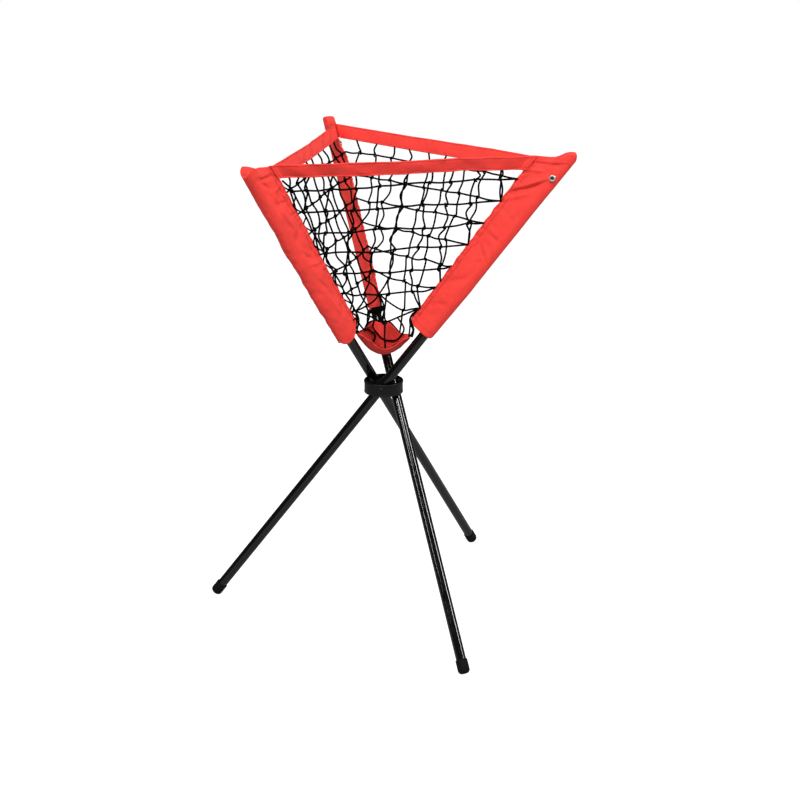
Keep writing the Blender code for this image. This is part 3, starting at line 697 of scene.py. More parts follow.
def worn_skin():
    """Paint or moulded plastic: a fine skin, smears that dull it and dust that gathers low down."""
    tree, given, out = effect(
        "worn_skin",
        (("Colour", COLOUR, (0.01, 0.01, 0.01, 1)), ("Roughness", VALUE, 0.3),
         ("Grain Scale", VALUE, 900.0), ("Grain Depth", VALUE, 0.00002), ("Dust", VALUE, 0.3)),
        (("Colour", COLOUR), ("Roughness", VALUE), ("Height", VALUE)),
    )
    w = Wiring(tree)
    place = w.node("ShaderNodeTexCoord").outputs["Object"]
    grain = w.noise(place, given.outputs["Grain Scale"], 3.0, 0.55)
    smear = w.noise(w.stretched(place, (1.0, 1.0, 0.25)), 60.0, 4.0, 0.6)
    speck = w.noise(place, 420.0, 4.0, 0.7)
    split = w.node("ShaderNodeSeparateXYZ")
    w.feed(split.inputs[0], place)
    low = w.spread(split.outputs[2], 0.0, 0.22, 1.0, 0.12)
    specks = w.maths("MULTIPLY", w.spread(speck, 0.52, 0.74, 0.0, 1.0), low)
    dust = w.maths("MULTIPLY", specks, given.outputs["Dust"])
    w.feed(out.inputs["Colour"], w.blend(dust, given.outputs["Colour"], (0.16, 0.15, 0.14, 1)))
    rough = w.maths("ADD", given.outputs["Roughness"], w.spread(smear, 0.35, 0.7, -0.04, 0.12))
    w.feed(out.inputs["Roughness"], w.maths("ADD", rough, w.maths("MULTIPLY", dust, 0.4)))
    w.feed(out.inputs["Height"], w.maths("MULTIPLY", grain, given.outputs["Grain Depth"]))
    return tree


GROUPS = {"woven_nylon": woven_nylon, "twisted_cord": twisted_cord, "worn_skin": worn_skin}


def finish_with(name, group, values, bump=1.0, **shader_values):
    """A material: one group's colour, roughness and height into a Principled shader."""
    paint = bpy.data.materials.get(f"caddy_{name}")
    if paint:
        return paint
    paint = bpy.data.materials.new(f"caddy_{name}")
    paint.use_nodes = True
    tree = paint.node_tree
    w = Wiring(tree)
    shader = tree.nodes["Principled BSDF"]
    made = w.node("ShaderNodeGroup")
    made.node_tree = bpy.data.node_groups.get(group) or GROUPS[group]()
    for label, value in values.items():
        made.inputs[label].default_value = value
    w.feed(shader.inputs["Base Color"], made.outputs["Colour"])
    w.feed(shader.inputs["Roughness"], made.outputs["Roughness"])
    rise = w.node("ShaderNodeBump")
    rise.inputs["Strength"].default_value = bump
    rise.inputs["Distance"].default_value = 1.0
    w.feed(rise.inputs["Height"], made.outputs["Height"])
    w.feed(shader.inputs["Normal"], rise.outputs[0])
    for label, value in shader_values.items():
        shader.inputs[label.replace("_", " ")].default_value = value
    return paint


def skin(name, colour, roughness, dust, grain=None, **shader_values):
    """Paint, plastic, rubber or metal. grain is its scale and its depth."""
    values = {"Colour": (*colour, 1), "Roughness": roughness, "Dust": dust}
    if grain:
        values["Grain Scale"], values["Grain Depth"] = grain
    return finish_with(name, "worn_skin", values, **shader_values)


def nylon(name, colour, crease_size=26.0):
    """Red woven cloth. A larger crease_size gives smaller creases."""
    cloth = settings().cloth
    values = {"Colour": (*colour, 1), "Thread Pitch": cloth.thread, "Crease Size": crease_size}
    return finish_with(
        name, "woven_nylon", values, Specular_IOR_Level=0.2, Sheen_Weight=0.04, Sheen_Roughness=0.5
    )


def sewing_thread():
    """The thread of every stitch."""
    values = {"Colour": (*settings().cloth.thread_red, 1), "Lay Length": 0.0012}
    return finish_with("sewing_thread", "twisted_cord", values, bump=0.4)


def net_cord():
    """The black cord of the nets and ties."""
    values = {"Colour": (*settings().net.colour, 1)}
    return finish_with("net_cord", "twisted_cord", values, Specular_IOR_Level=0.04)


def soft_edges():
    """Geometry nodes that join a CAD mesh's faces and shade all but its sharp edges smooth."""
    tree = bpy.data.node_groups.get("soft_edges")
    if tree:
        return tree
    tree = bpy.data.node_groups.new("soft_edges", "GeometryNodeTree")
    tree.interface.new_socket("Mesh", in_out="INPUT", socket_type="NodeSocketGeometry")
    tree.interface.new_socket("Mesh", in_out="OUTPUT", socket_type="NodeSocketGeometry")
    w = Wiring(tree)
    joined = w.node("GeometryNodeMergeByDistance")
    joined.inputs["Distance"].default_value = 0.00001
    plain = w.node("GeometryNodeRemoveAttribute")
    plain.inputs["Name"].default_value = "custom_normal"
    faces = w.node("GeometryNodeSetShadeSmooth", domain="FACE")
    edges = w.node("GeometryNodeSetShadeSmooth", domain="EDGE")
    edges.inputs["Shade Smooth"].default_value = False
    angle = w.node("GeometryNodeInputMeshEdgeAngle").outputs["Unsigned Angle"]
    w.feed(joined.inputs["Geometry"], w.node("NodeGroupInput").outputs["Mesh"])
    w.feed(plain.inputs["Geometry"], joined.outputs["Geometry"])
    w.feed(faces.inputs["Geometry"], plain.outputs["Geometry"])
    w.feed(edges.inputs["Geometry"], faces.outputs["Geometry"])
    w.feed(edges.inputs["Selection"], w.maths("GREATER_THAN", angle, radians(32)))
    w.feed(w.node("NodeGroupOutput").inputs["Mesh"], edges.outputs["Geometry"])
    return tree


def repaint(nodes, paint):
    """A better finish for CAD nodes whose shape stays."""
    for name in nodes:
        node = frame["nodes"][name]
        node.data.materials.clear()
        node.data.materials.append(paint)
        node.modifiers.new("soft_edges", "NODES").node_group = soft_edges()


# Sleeves


def crease_depth(leg, side, reach, place):
    """How far a sleeve's face is pushed out by the creases near a point."""
    total = np.zeros(np.shape(reach))
    for face, start, end, width, depth in CREASES[leg]:
        start, end = np.array(start) * MM, np.array(end) * MM
        way = end - start
        offset_x, offset_y = reach - start[0], place - start[1]
        share = np.clip((offset_x * way[0] + offset_y * way[1]) / (way @ way), 0, 1)
        away = np.hypot(offset_x - share * way[0], offset_y - share * way[1])
        fall = np.exp(-((away / (width * MM)) ** 2)) * (np.sin(pi * share) * 0.75 + 0.25)
        total += depth * MM * fall * np.where(np.sign(side) == face, 1, 0)
    return total


def sleeve_half(edge, outer, steps=(4, 8, 14, 20)):
    """Half of a sleeve's section from the fin's inner edge to the side beyond the tube."""
    fin_start = edge * FIN_START
    touch = asin((SLEEVE_RADIUS - FIN_HALF) / fin_start)
    crown = (SLEEVE_RADIUS * sin(touch), SLEEVE_RADIUS * cos(touch))
    turn = np.linspace(0, pi / 2, steps[0] + 1)[:-1]
    reach = list(edge - FIN_HALF + FIN_HALF * np.cos(turn))
    side = list(FIN_HALF * np.sin(turn))
    share = np.linspace(0, 1, steps[1] + 1)[:-1]
    reach += list(edge - FIN_HALF + (fin_start - edge + FIN_HALF) * share)
    side += [FIN_HALF] * steps[1]
    share = np.linspace(0, 1, steps[2] + 1)[:-1]
    reach += list(fin_start + (crown[0] - fin_start) * share)
    side += list(FIN_HALF + (crown[1] - FIN_HALF) * share + 0.0010 * np.sin(pi * share))
    turn = np.linspace(asin(crown[0] / SLEEVE_RADIUS), -pi / 2, steps[3] + 1)
    out = np.where(turn < 0, outer, SLEEVE_RADIUS)
    reach += list(out * np.sin(turn))
    side += list(SLEEVE_RADIUS * np.cos(turn))
    return np.array(reach), np.array(side)


def sleeve_bottom(leg, reach, edge, outer):
    """The sleeve's lower edge, rounded at the fin's corner and outside the tube."""
    place, at_fin, run, rise, outer_run, outer_rise = np.array(HEM[leg]) * MM
    into = np.clip((reach - edge + run) / run, 0, 1)
    out = np.clip((-reach - outer + outer_run) / outer_run, 0, 1)
    level = place + (at_fin - place) * (reach + outer) / (edge + outer)
    return level + rise * (1 - np.sqrt(1 - into**2)) + outer_rise * (1 - np.sqrt(1 - out**2))


def sleeve_top(leg, reach):
    """The place of the sleeve's top edge."""
    edge = np.array(TOP_EDGE[leg]) * MM
    return np.interp(reach, edge[:, 0], edge[:, 1])


def plain_row(leg, share):
    """A row round a sleeve before its cloth swells: inner and outer reach, points and pinch."""
    middle = SLEEVE_BOTTOM + share * SLEEVE_LENGTH
    edge, outer = float(read_off(INNER[leg], middle)), float(read_off(OUTER[leg], middle))
    reach, side = sleeve_half(edge, outer)
    reach = np.concatenate((reach, reach[-2:0:-1]))
    side = np.concatenate((side, -side[-2:0:-1]))
    low, high = sleeve_bottom(leg, reach, edge, outer), sleeve_top(leg, reach)
    place = low + share * (high - low)
    # Towards its top edge the cloth beside the tube is pinched flat and sewn shut.
    pinch = smooth((reach - 0.011) / 0.010) * smooth((place - high + 0.016) / 0.016)
    flat = np.sign(side) * np.minimum(np.abs(side), FIN_HALF + 0.0004)
    return edge, outer, reach, side + (flat - side) * pinch, place, pinch


def sleeve_surface(leg):
    """Rows of points round a sleeve, in (reach, side, place), from its lower hem to its top."""
    seed = 11 + LEGS.index(leg)
    share = np.linspace(0, 1, ROWS - len(TOP_SHARES) + 1)
    share = np.concatenate((share[:-1], TOP_SHARES))
    tuck = np.zeros(ROWS)
    tuck[-len(TOP_TUCKS):] = TOP_TUCKS
    out = []
    for height, tucked in zip(share, tuck):
        edge, outer, reach, side, place, pinch = plain_row(leg, height)
        face = np.sign(side)
        # Cloth is loose beside the tube, and outside it where it hangs off.
        loose = smooth((reach + 0.004) / 0.014)
        hanging = smooth((outer - 0.0125) / 0.008) * smooth((-reach - 0.006) / 0.006)
        swell = ripple(np.stack((reach, place * 0.5, 0.02 * face), axis=-1), SWELL_SIZE, seed)
        small = ripple(np.stack((reach * 0.8, place, 0.02 * face), axis=-1), CRUMPLE_SIZE, seed + 3)
        pucker = ripple(np.stack((place, 0.01 * face), axis=-1), PUCKER_SIZE, seed + 5)
        near_edge = smooth((reach - edge + 0.013) / 0.010)
        bulge = np.maximum(loose, hanging) * (SWELL * swell + CRUMPLE * LOOSE[leg] * small)
        bulge = bulge * (1 - 0.5 * near_edge) + near_edge * PUCKER * pucker
        creases = CREASE_FACTOR * crease_depth(leg, face, reach, place)
        bulge = bulge + creases * np.clip(loose + 0.25, 0, 1)
        bulge *= (0.35 + 0.65 * smooth((place - SLEEVE_BOTTOM) / 0.03)) * (1 - pinch * 0.6)
        way = np.stack((np.where(reach < 0, reach, 0), side), axis=-1)
        way = way / np.maximum(np.linalg.norm(way, axis=1), 1e-6)[:, None]
        way[np.abs(side) < 0.0007] *= 0
        reach = reach + way[:, 0] * (bulge - tucked)
        side = side + way[:, 1] * (bulge - tucked)
        drawn = TIED * ripple(place[:, None], TIED_SIZE, seed + 9) + 0.3 * PUCKER * pucker
        reach = reach + near_edge * drawn
        # No crease is so deep that the tube shows through it.
        far = np.hypot(reach, side)
        limit = TUBE_RADIUS + TUBE_CLEAR
        short = (far < limit) & (np.abs(side) > 0.0005)
        scale = np.where(short, limit / np.maximum(far, 1e-6), 1)
        out.append(np.stack((reach * scale, side * scale, place), axis=-1))
    return np.array(out)


def to_space(leg, local):
    """A sleeve's points in space, from (reach, side, place)."""
    return on_cloth(leg, local[..., 0], local[..., 1], local[..., 2])


def make_sleeve(leg):
    """A cover over the tube: round it, then a pocket drawn in to a sewn double fin."""
    cloth = settings().cloth
    local = sleeve_surface(leg)
    points = to_space(leg, local)
    rows, columns = points.shape[:2]
    ring = np.linalg.norm(np.roll(points, -1, axis=1) - points, axis=-1)
    round_it = np.concatenate((np.zeros((rows, 1)), np.cumsum(ring, axis=1)), axis=1)
    round_it -= round_it[:, columns // 2][:, None]
    up = np.concatenate((local[..., 2], local[:, :1, 2]), axis=1)
    shape = Shape()
    shape.grid(points, np.stack((round_it, up), axis=-1), wrap=True)
    close_top(shape, leg, points)
    made = shape.piece(f"sleeve_cloth_{leg}", nylon("red_nylon", cloth.red))
    tidy_normals(made)
    thick = made.modifiers.new("cloth", "SOLIDIFY")
    thick.thickness = cloth.thickness
    thick.offset = -1
    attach(made, f"leg_{leg}")
    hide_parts(f"sleeve_{leg}")
    sewn = sleeve_stitches(leg, local)


def close_top(shape, leg, points):
    """The sleeve's closed end: chords from one face to the other, slightly domed."""
    rows, columns = points.shape[:2]
    top, last = points[-1], (rows - 1) * columns
    inner = np.linspace(0, 1, 6)[1:-1]
    dome = on_leg(leg, 0.0, 0.0, 1.0) - on_leg(leg, 0.0, 0.0, 0.0)
    rungs = []
    for k in range(columns // 2 + 1):
        other = (columns - k) % columns
        if other in (k, 0) or k == 0:
            rungs.append([last + k] * 6)
            continue
        width = np.linalg.norm(top[k] - top[other])
        spots = top[k] + np.outer(inner, top[other] - top[k])
        spots = spots + np.outer(np.sin(pi * inner), dome) * width * 0.07
        start = len(shape.points)
        shape.points.extend(map(tuple, spots))
        rungs.append([last + k, *range(start, start + 4), last + other])
    for first, second in zip(rungs, rungs[1:]):
        for k in range(5):
            face = [first[k], second[k], second[k + 1], first[k + 1]]
            face = [corner for n, corner in enumerate(face) if corner not in face[:n]]
            if len(face) > 2:
                shape.faces.append(face)
                shape.marks.append([
                    (shape.points[corner][0], shape.points[corner][1]) for corner in face
                ])


def surface_lines(points, rows=None, column=None):
    """A line over a sleeve's surface and the cloth's normals along it."""
    across = np.roll(points, -1, axis=1) - np.roll(points, 1, axis=1)
    along = np.gradient(points, axis=0)
    normals = np.cross(across, along)
    normals /= np.linalg.norm(normals, axis=-1)[..., None] + 1e-12
    if column is None:
        return points[rows], normals[rows]
    return points[:, column], normals[:, column]


def sleeve_stitches(leg, local):
    """Hem stitches: two rows along the fin, one round the lower hem, one below the top edge."""
    cloth = settings().cloth
    points = to_space(leg, local)
    columns = points.shape[1]
    shape = Shape()
    outward = -1 if normals_face_in(points, leg) else 1
    for column in (5, 10, columns - 5, columns - 10):
        line, ups = surface_lines(points, column=column)
        stitches(shape, line[2:-6], ups[2:-6] * outward, cloth.stitch)
    for row in (4, -12):
        line, ups = surface_lines(points, rows=row)
        turned = np.arange(3, columns - 3)
        stitches(shape, line[turned], ups[turned] * outward, cloth.stitch)
    made = shape.piece(f"sleeve_stitching_{leg}", sewing_thread())
    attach(made, f"leg_{leg}")
    return made


def normals_face_in(points, leg):
    """True if the grid's own normals point at the tube."""
    line, ups = surface_lines(points, rows=len(points) // 2)
    outermost = points.shape[1] // 2
    axis = on_leg(leg, 0.0, 0.0, 0.35)
    centre = line.mean(axis=0)
    return float(ups[outermost] @ (line[outermost] - (axis + centre) / 2)) < 0


# Rim bands


class BandPlan:
    """One band's top and lower edge, station by station, and how its cloth sways."""

    def __init__(self, name):
        first, second = PANELS[name]
        rise = np.array(BAND_RISE[name])
        self.seed = 31 + list(PANELS).index(name)
        lie = FIN_HALF + BAND_THICK / 2 + 0.0003

        def edge(below):
            """Points of a line along the band, below its top, where it lies on its two sleeves."""
            path = []
            for leg, side, end in ((first, 1, 0), (second, -1, 1)):
                height = RIM + np.interp(end, rise[:, 0], rise[:, 1]) * MM - below
                spots = ((BAND_REACH - 0.001, lie), (BAND_BEND - 0.001, lie),
                         (BAND_BEND + 0.003, lie * 0.8))
                row = [on_cloth(leg, r, side * s, level_place(r, height)) for r, s in spots]
                path += row if end == 0 else row[::-1]
            return np.array(path)

        steps, lines = 131, []
        for below in (0.0, BAND_HEIGHT):
            path = edge(below)
            start, end = spline(path[:3], 4), spline(path[3:], 4)
            share = np.linspace(0, 1, steps - 2 * len(start) + 2)[1:-1]
            full = np.vstack((start, path[2] + np.outer(share, path[3] - path[2]), end))
            far = lengths(full) / lengths(full)[-1]
            straight = np.interp(far, (0, 1), (rise[0, 1], rise[-1, 1]))
            full[:, 2] += (np.interp(far, rise[:, 0], rise[:, 1]) - straight) * MM
            lines.append(full)
        self.top, self.low = lines
        self.far = lengths((self.top + self.low) / 2)
        along = np.gradient((self.top + self.low) / 2, axis=0)
        along /= np.linalg.norm(along, axis=1)[:, None]
        down = self.low - self.top
        down /= np.linalg.norm(down, axis=1)[:, None]
        self.facing = np.cross(along, down)

    def sway(self, far, share):
        """How far the cloth strays from its plane."""
        share = np.asarray(share, float)
        field = np.stack((np.full(share.shape, far), share * BAND_HEIGHT * 1.4), axis=-1)
        wave = sum(ripple(field, size, self.seed + seed) * high for size, high, seed in BAND_WAVES)
        return wave * smooth(min(far, self.far[-1] - far) / 0.02)

    def inside(self, point, share):
        """The spot in the middle of the cloth nearest to a point, at a share of the height."""
        k = int(np.argmin(np.linalg.norm((self.low - point)[:, :2], axis=1)))
        spot = self.top[k] + share * (self.low[k] - self.top[k])
        return spot + self.facing[k] * float(self.sway(self.far[k], share))


def make_band(name):
    """A hemmed strip along one side of the rim, in two halves that meet in its middle."""
    cloth = settings().cloth
    first, second = PANELS[name]
    plan = BandPlan(name)
    share, puff = np.array(BAND_SECTION).T
    rows = []
    for k, far in enumerate(plan.far):
        spots = plan.top[k] + np.outer(share, plan.low[k] - plan.top[k])
        wave = plan.sway(far, share)
        front = spots + np.outer(puff * BAND_THICK / 2 + wave, plan.facing[k])
        back = spots + np.outer(-puff * BAND_THICK / 2 + wave, plan.facing[k])
        rows.append(np.vstack((front, back[-2:0:-1])))
    points = np.array(rows)
    round_it = np.concatenate((share, 2 - share[-2::-1])) * BAND_HEIGHT
    marks = np.stack(np.broadcast_arrays(plan.far[:, None], round_it[None, :]), axis=-1)
    half, columns = len(points) // 2, points.shape[1]
    ends = [on_leg(leg, BAND_BEND, 0.0, level_place(BAND_BEND, RIM)) for leg in (first, second)]
    parts = slice(0, half + 1), slice(half, None)
    for leg, part, sewn_end in zip((first, second), parts, ends):
        shape = Shape()
        shape.grid(points[part], marks[part], wrap=True)
        for start in (0, len(shape.points) - columns):
            shape.faces.append(list(range(start, start + columns)))
            shape.marks.append([(0.0, 0.0)] * columns)
        made = shape.piece(f"rim_band_{name}_by_{leg}", nylon("red_nylon_band", cloth.red, 20.0))
        tidy_normals(made)
        thread = band_stitches(f"rim_band_{name}_stitching_by_{leg}", plan, points, part)
        for piece in (made, thread):
            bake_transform(piece)
        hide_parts(f"rim_band_{name}")


def band_stitches(name, plan, points, part):
    """A band's stitches: rows along both hems, and two seams where its end is sewn to the sleeve."""
    stitch = settings().cloth.stitch
    sewn = Shape()
    for column in (4, 10, -4, -10):
        way = plan.facing[part] * (1 if column > 0 else -1)
        stitches(sewn, points[part][1:-1, column], way[1:-1], stitch)
    for station in (1, 4) if part.start == 0 else (-2, -5):
        for across, face in ((slice(1, 14), 1), (slice(15, 28), -1)):
            line = points[station][across]
            way = np.repeat(plan.facing[station][None], len(line), axis=0)
            stitches(sewn, line, way * face, stitch * 0.8)
    return sewn.piece(name, sewing_thread())


# Floor patch


def patch_rim():
    """The rim's directions in degrees, radii and heights, with its corners softened."""
    way, radius, height = np.array(PATCH_RIM, float).T
    every = np.arange(360.0)
    soften = np.exp(-0.5 * (np.minimum(every, 360 - every) / 6.0) ** 2)
    soften = np.fft.rfft(soften / soften.sum())
    rim = [np.interp(every, way, value * MM, period=360) for value in (radius, height)]
    return every, *[np.fft.irfft(np.fft.rfft(value) * soften, 360) for value in rim]


SOFT_RIM = patch_rim()


def patch_point(turn, share):
    """A point on the patch: turn about the hub's axis, share of the way out to its rim."""
    every, radii, heights = SOFT_RIM
    radius = np.interp(np.degrees(turn), every, radii, period=360) * share
    rim = PIVOT_HEIGHT + np.interp(np.degrees(turn), every, heights, period=360)
    low = PIVOT_HEIGHT + PATCH_LOW
    x, y = HUB[0] + radius * np.cos(turn), HUB[1] + radius * np.sin(turn)
    field = np.stack((x, y), axis=-1)
    wave = sum(ripple(field, size, seed) * high for size, high, seed in PATCH_WAVES)
    z = low + (rim - low) * share**1.9 + wave * (0.3 + 0.7 * share)
    return np.stack((x, y, z), axis=-1)


def on_patch(degrees, share):
    """The middle of a cord that lies on the patch."""
    turn = np.array(radians(degrees))
    inner, under = patch_point(turn, np.array(share - 0.07)), patch_point(turn, np.array(share))
    return np.array((inner[0], inner[1], under[2] + 0.0030))


def patch_turn(leg):
    """The direction of a lobe's tip."""
    reach, place = PATCH_TIP
    along = place * sin(TILT) - reach * cos(TILT)
    return radians(-30) - atan2(LEG_OFFSET, along) + LEGS.index(leg) * 2 * pi / 3


def make_patch():
    """The three-cornered floor cloth, in three lobes, one towards each leg."""
    cloth = settings().cloth
    # Painted shade: the patch's red is darkened to 0.92 of the sleeves' red.
    paint = nylon("red_nylon_patch_shaded", tuple(0.92 * value for value in cloth.red), 34.0)
    rings, steps = 24, 44
    for leg in LEGS:
        centre = patch_turn(leg)
        turn, share = np.meshgrid(
            centre + np.linspace(-pi / 3, pi / 3, steps + 1), np.linspace(0, 1, rings) ** 0.9
        )
        points = patch_point(turn, share)
        shape = Shape()
        shape.grid(points, points[..., :2])
        made = shape.piece(f"floor_patch_{leg}", paint)
        tidy_normals(made, merge=True)
        thick = made.modifiers.new("cloth", "SOLIDIFY")
        thick.thickness = PATCH_THICK
        thick.offset = 0
        sewn = Shape()
        normals = np.cross(np.gradient(points, axis=1), np.gradient(points, axis=0))
        normals /= np.linalg.norm(normals, axis=-1)[..., None] + 1e-12
        for way in (1, -1):
            line = points[rings - 3] + normals[rings - 3] * way * PATCH_THICK / 2
            stitches(sewn, line[2:-2], normals[rings - 3][2:-2] * way, cloth.stitch)
        thread = sewn.piece(f"floor_patch_stitching_{leg}", sewing_thread())
        way = np.array((cos(centre), sin(centre), 0))
        for piece in (made, thread):
            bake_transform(piece)
        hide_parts("floor_patch")


# Nets


def net_border(leg, side, hem=False):
    """A net's side, from the rim down the sleeve's inner edge and round below it."""
    top = level_place(SLEEVE_REACH_TOP + NET_CLEAR, RIM - BAND_HEIGHT - NET_CLEAR)
    corner_place = SLEEVE_BOTTOM + SLEEVE_CORNER
    corner_reach = sleeve_reach(corner_place) - SLEEVE_CORNER
    spots = [(sleeve_reach(top) + NET_CLEAR, top)]
    for turn in (0, -pi / 4):
        spots.append((corner_reach + NET_CORNER * cos(turn), corner_place + NET_CORNER * sin(turn)))
    spots.append(NET_FOOT)
    if hem:
        # Where the sleeve's own edge is, in the middle of its fin.
        inner = [float(read_off(INNER[leg], spots[0][1])), float(read_off(INNER[leg], spots[1][1]))]
        spots = [(inner[0] - 0.0012, top), (inner[1] - 0.0015, corner_place + 0.008), *spots[2:]]
        return np.array([on_leg(leg, reach, 0.0, place) for reach, place in spots])
    return np.array([on_leg(leg, reach, side * NET_SIDE, place) for reach, place in spots])


class NetPlan:
    """A net laid flat, and where each of its points hangs between two sleeves."""

    def __init__(self, name):
        self.name = name
        self.legs = first, second = PANELS[name]
        self.left, self.right = net_border(first, 1), net_border(second, -1)
        self.hems = net_border(first, 1, hem=True), net_border(second, -1, hem=True)
        self.widths = np.linalg.norm(self.right - self.left, axis=1) / 2
        self.drops = lengths((self.left + self.right) / 2)
        self.depth = self.drops[-1]
        self.facing = np.cross(self.right[0] - self.left[0], self.left[-1] - self.left[0])
        self.facing /= np.linalg.norm(self.facing)
        self.side_way = self.right[0] - self.left[0]
        self.side_way /= np.linalg.norm(self.side_way)
        self.down_way = np.cross(self.side_way, self.facing)
        self.down_way *= -np.sign(self.down_way[2])

    def half_width(self, down):
        """Half of the net's width at a depth below the rim band."""
        return np.interp(down, self.drops, self.widths)

    def down_at(self, half):
        """How far down the net is this wide."""
        return np.interp(-half, -self.widths, self.drops)

    def border(self, side, down, hem=False):
        """A point on the net's edge, or in the hem that it is tied to."""
        line = self.hems[side] if hem else (self.left, self.right)[side]
        return np.array([np.interp(down, self.drops, line[:, axis]) for axis in range(3)])

    def foot(self, swing):
        """The net's lower edge, on the patch's rim: swing from -1 to 1 between the sleeves."""
        turn = np.array(patch_turn(self.legs[0]) + (swing + 1) * pi / 3)
        # The front net's foot lies on the patch, the others' just outside its rim and lower.
        if self.name == "front":
            return patch_point(turn, np.array(0.94)) + (0, 0, 0.0018)
        return patch_point(turn, np.array(1.05)) - (0, 0, 0.0045)

    def placed(self, across, down):
        """Where a point of the flat net hangs: across from its middle, down from the rim band."""
        down = min(max(down, 0.0), self.depth)
        swing = float(np.clip(across / self.half_width(down), -1, 1))
        point = self.border(0, down) * (1 - swing) / 2 + self.border(1, down) * (1 + swing) / 2
        low = max(0.0, 2 * down / self.depth - 1) ** 2
        if low > 0:
            level = self.left[-1] * (1 - swing) / 2 + self.right[-1] * (1 + swing) / 2
            point = point + low * (self.foot(swing) - level) * (1 - swing**6)
        return point


def end_of_cord(plan, side, down):
    """Where a cord stops at the net's edge: in the sleeve's hem, or round the edge cord."""
    if (plan.name, side) not in LACED:
        return plan.border(side, down, hem=True)
    return edge_spot(plan, side, down)


def edge_spot(plan, side, down):
    """The edge cord's place: off the sleeve's hem, further near the rim."""
    inward = (plan.right[0] - plan.left[0]) * (1 if side == 0 else -1)
    inward /= np.linalg.norm(inward)
    wide = LACED_OFF if (plan.name, side) in LACED else EDGE_OFF
    reach = wide * max(0.0, 1 - 1.7 * down / plan.depth) ** 1.2 + 0.0004
    reach += 0.0010 * float(ripple(np.array((down, 0.2 * side)), 0.05, 71))
    return plan.border(side, down) + inward * reach * smooth(down / 0.02)


def net_knots(plan, draw):
    """The net's knots, and the spots on its edges where two cords meet, by row and column."""
    columns = int(plan.widths[0] / PITCH)
    knots, ties = {}, {}
    for row in range(int(plan.depth / PITCH) + 1):
        down = (row + 0.5) * PITCH
        if down > plan.depth:
            continue
        half = plan.half_width(down)
        count = min(columns, int(half / PITCH))
        for column in range(-count, count + 1):
            across = column * PITCH
            left_over = half - abs(across)
            loose = 0.6 + 0.9 * down / plan.depth
            shift = draw.normal(size=3) * KNOT_STRAY * loose
            if left_over < KNOT_SHARE * PITCH:
                ties[row, column] = end_of_cord(plan, 0 if across < 0 else 1, down)
            else:
                calm = min(1.0, left_over / PITCH)
                spot = plan.placed(across + shift[0] * calm, down + shift[1] * calm)
                knots[row, column] = spot + plan.facing * shift[2] * calm
    return columns, knots, ties


def row_cord(plan, row, spots, ties, draw, slack):
    """A cord across the net through the spots of one row."""
    down = (row + 0.5) * PITCH
    held = sorted(column for r, column in spots if r == row)
    before = plan.facing * settings().net.cord * 0.25
    path = [] if (row, held[0]) in ties else [end_of_cord(plan, 0, down)]
    path += [spots[row, column] + before for column in held]
    path += [] if (row, held[-1]) in ties else [end_of_cord(plan, 1, down)]
    loose = 0.5 + 1.3 * (down / plan.depth) ** 2
    bent = [path[0]]
    for a, b in zip(path, path[1:]):
        stray = draw.normal(size=2) * slack * loose
        sag = SAG * loose * np.linalg.norm(b - a) / PITCH
        middle = (a + b) / 2 + plan.down_way * (0.28 * stray[0] + sag) + plan.facing * 0.5 * stray[1]
        bent += [middle, b]
    return spline(bent, 6)


def column_cord(plan, column, spots, knots, draw, slack, band):
    """A cord from inside the rim band down the net, which jogs aside at each knot."""
    thick = settings().net.cord
    held = sorted(row for row, c in spots if c == column)
    top = plan.placed(column * PITCH + draw.normal() * 0.003, 0.0)
    path, marks = [band.inside(top, share) for share in BAND_HOLD], [False, False]
    for row in held:
        path.append(spots[row, column] - plan.facing * thick * 0.25)
        marks.append((row, column) in knots)
    if (held[-1], column) in knots:
        end_down = min(plan.down_at(abs(column) * PITCH), plan.depth)
        if end_down - (held[-1] + 0.5) * PITCH > 0.15 * PITCH:
            at_edge = column != 0 and end_down < plan.depth - 0.001
            if at_edge:
                path.append(end_of_cord(plan, 0 if column < 0 else 1, end_down))
            else:
                path.append(plan.placed(column * PITCH, end_down))
            marks.append(False)
    bent = path[:2]
    jog = 1.0 if column % 2 else -1.0
    for k in range(2, len(path)):
        a, b = path[k - 1], path[k]
        stray = draw.normal(size=2) * slack * (0.6 + 0.8 * min(1.0, k / len(path) * 1.4))
        bent.append((a + b) / 2 + plan.side_way * stray[0] + plan.facing * 0.7 * stray[1])
        if marks[k]:
            step = jog * (0.9 + 0.5 * draw.random()) * thick
            bent.append(b + plan.side_way * step * 0.5 - plan.down_way * thick * 0.55)
            bent.append(b - plan.side_way * step * 0.5 + plan.down_way * thick * 0.55)
            jog = -jog
        else:
            bent.append(b)
    return spline(bent, 5)


def slack_cords(plan, last_row):
    """The front net's two loose cords that lie in the patch."""
    low = (last_row + 0.5) * PITCH
    ends = [plan.placed(swing * plan.half_width(low), low) for swing in (-0.45, 0.5)]
    left, right = [[on_patch(*spot) for spot in slack] for slack in (SLACK_LEFT, SLACK_RIGHT)]
    start = plan.border(0, 0.93 * plan.depth, hem=True)
    rising = right[-1] + (0.002, 0, 0.012)
    return [spline([start, *left], 6), spline([ends[0], *right, rising, ends[1]], 6)]


def net_cords(plan, draw, slack):
    """Every cord of one net as a line of points, and where its knots are."""
    columns, knots, ties = net_knots(plan, draw)
    spots = {**knots, **ties}
    band = BandPlan(plan.name)
    last_row = max(row for row, column in spots)
    lines = [row_cord(plan, row, spots, ties, draw, slack) for row in range(last_row + 1)]
    for column in range(-columns, columns + 1):
        if any(c == column for row, c in spots):
            lines.append(column_cord(plan, column, spots, knots, draw, slack, band))
    if plan.name == "front":
        lines += slack_cords(plan, last_row)
    return lines, knots.values()


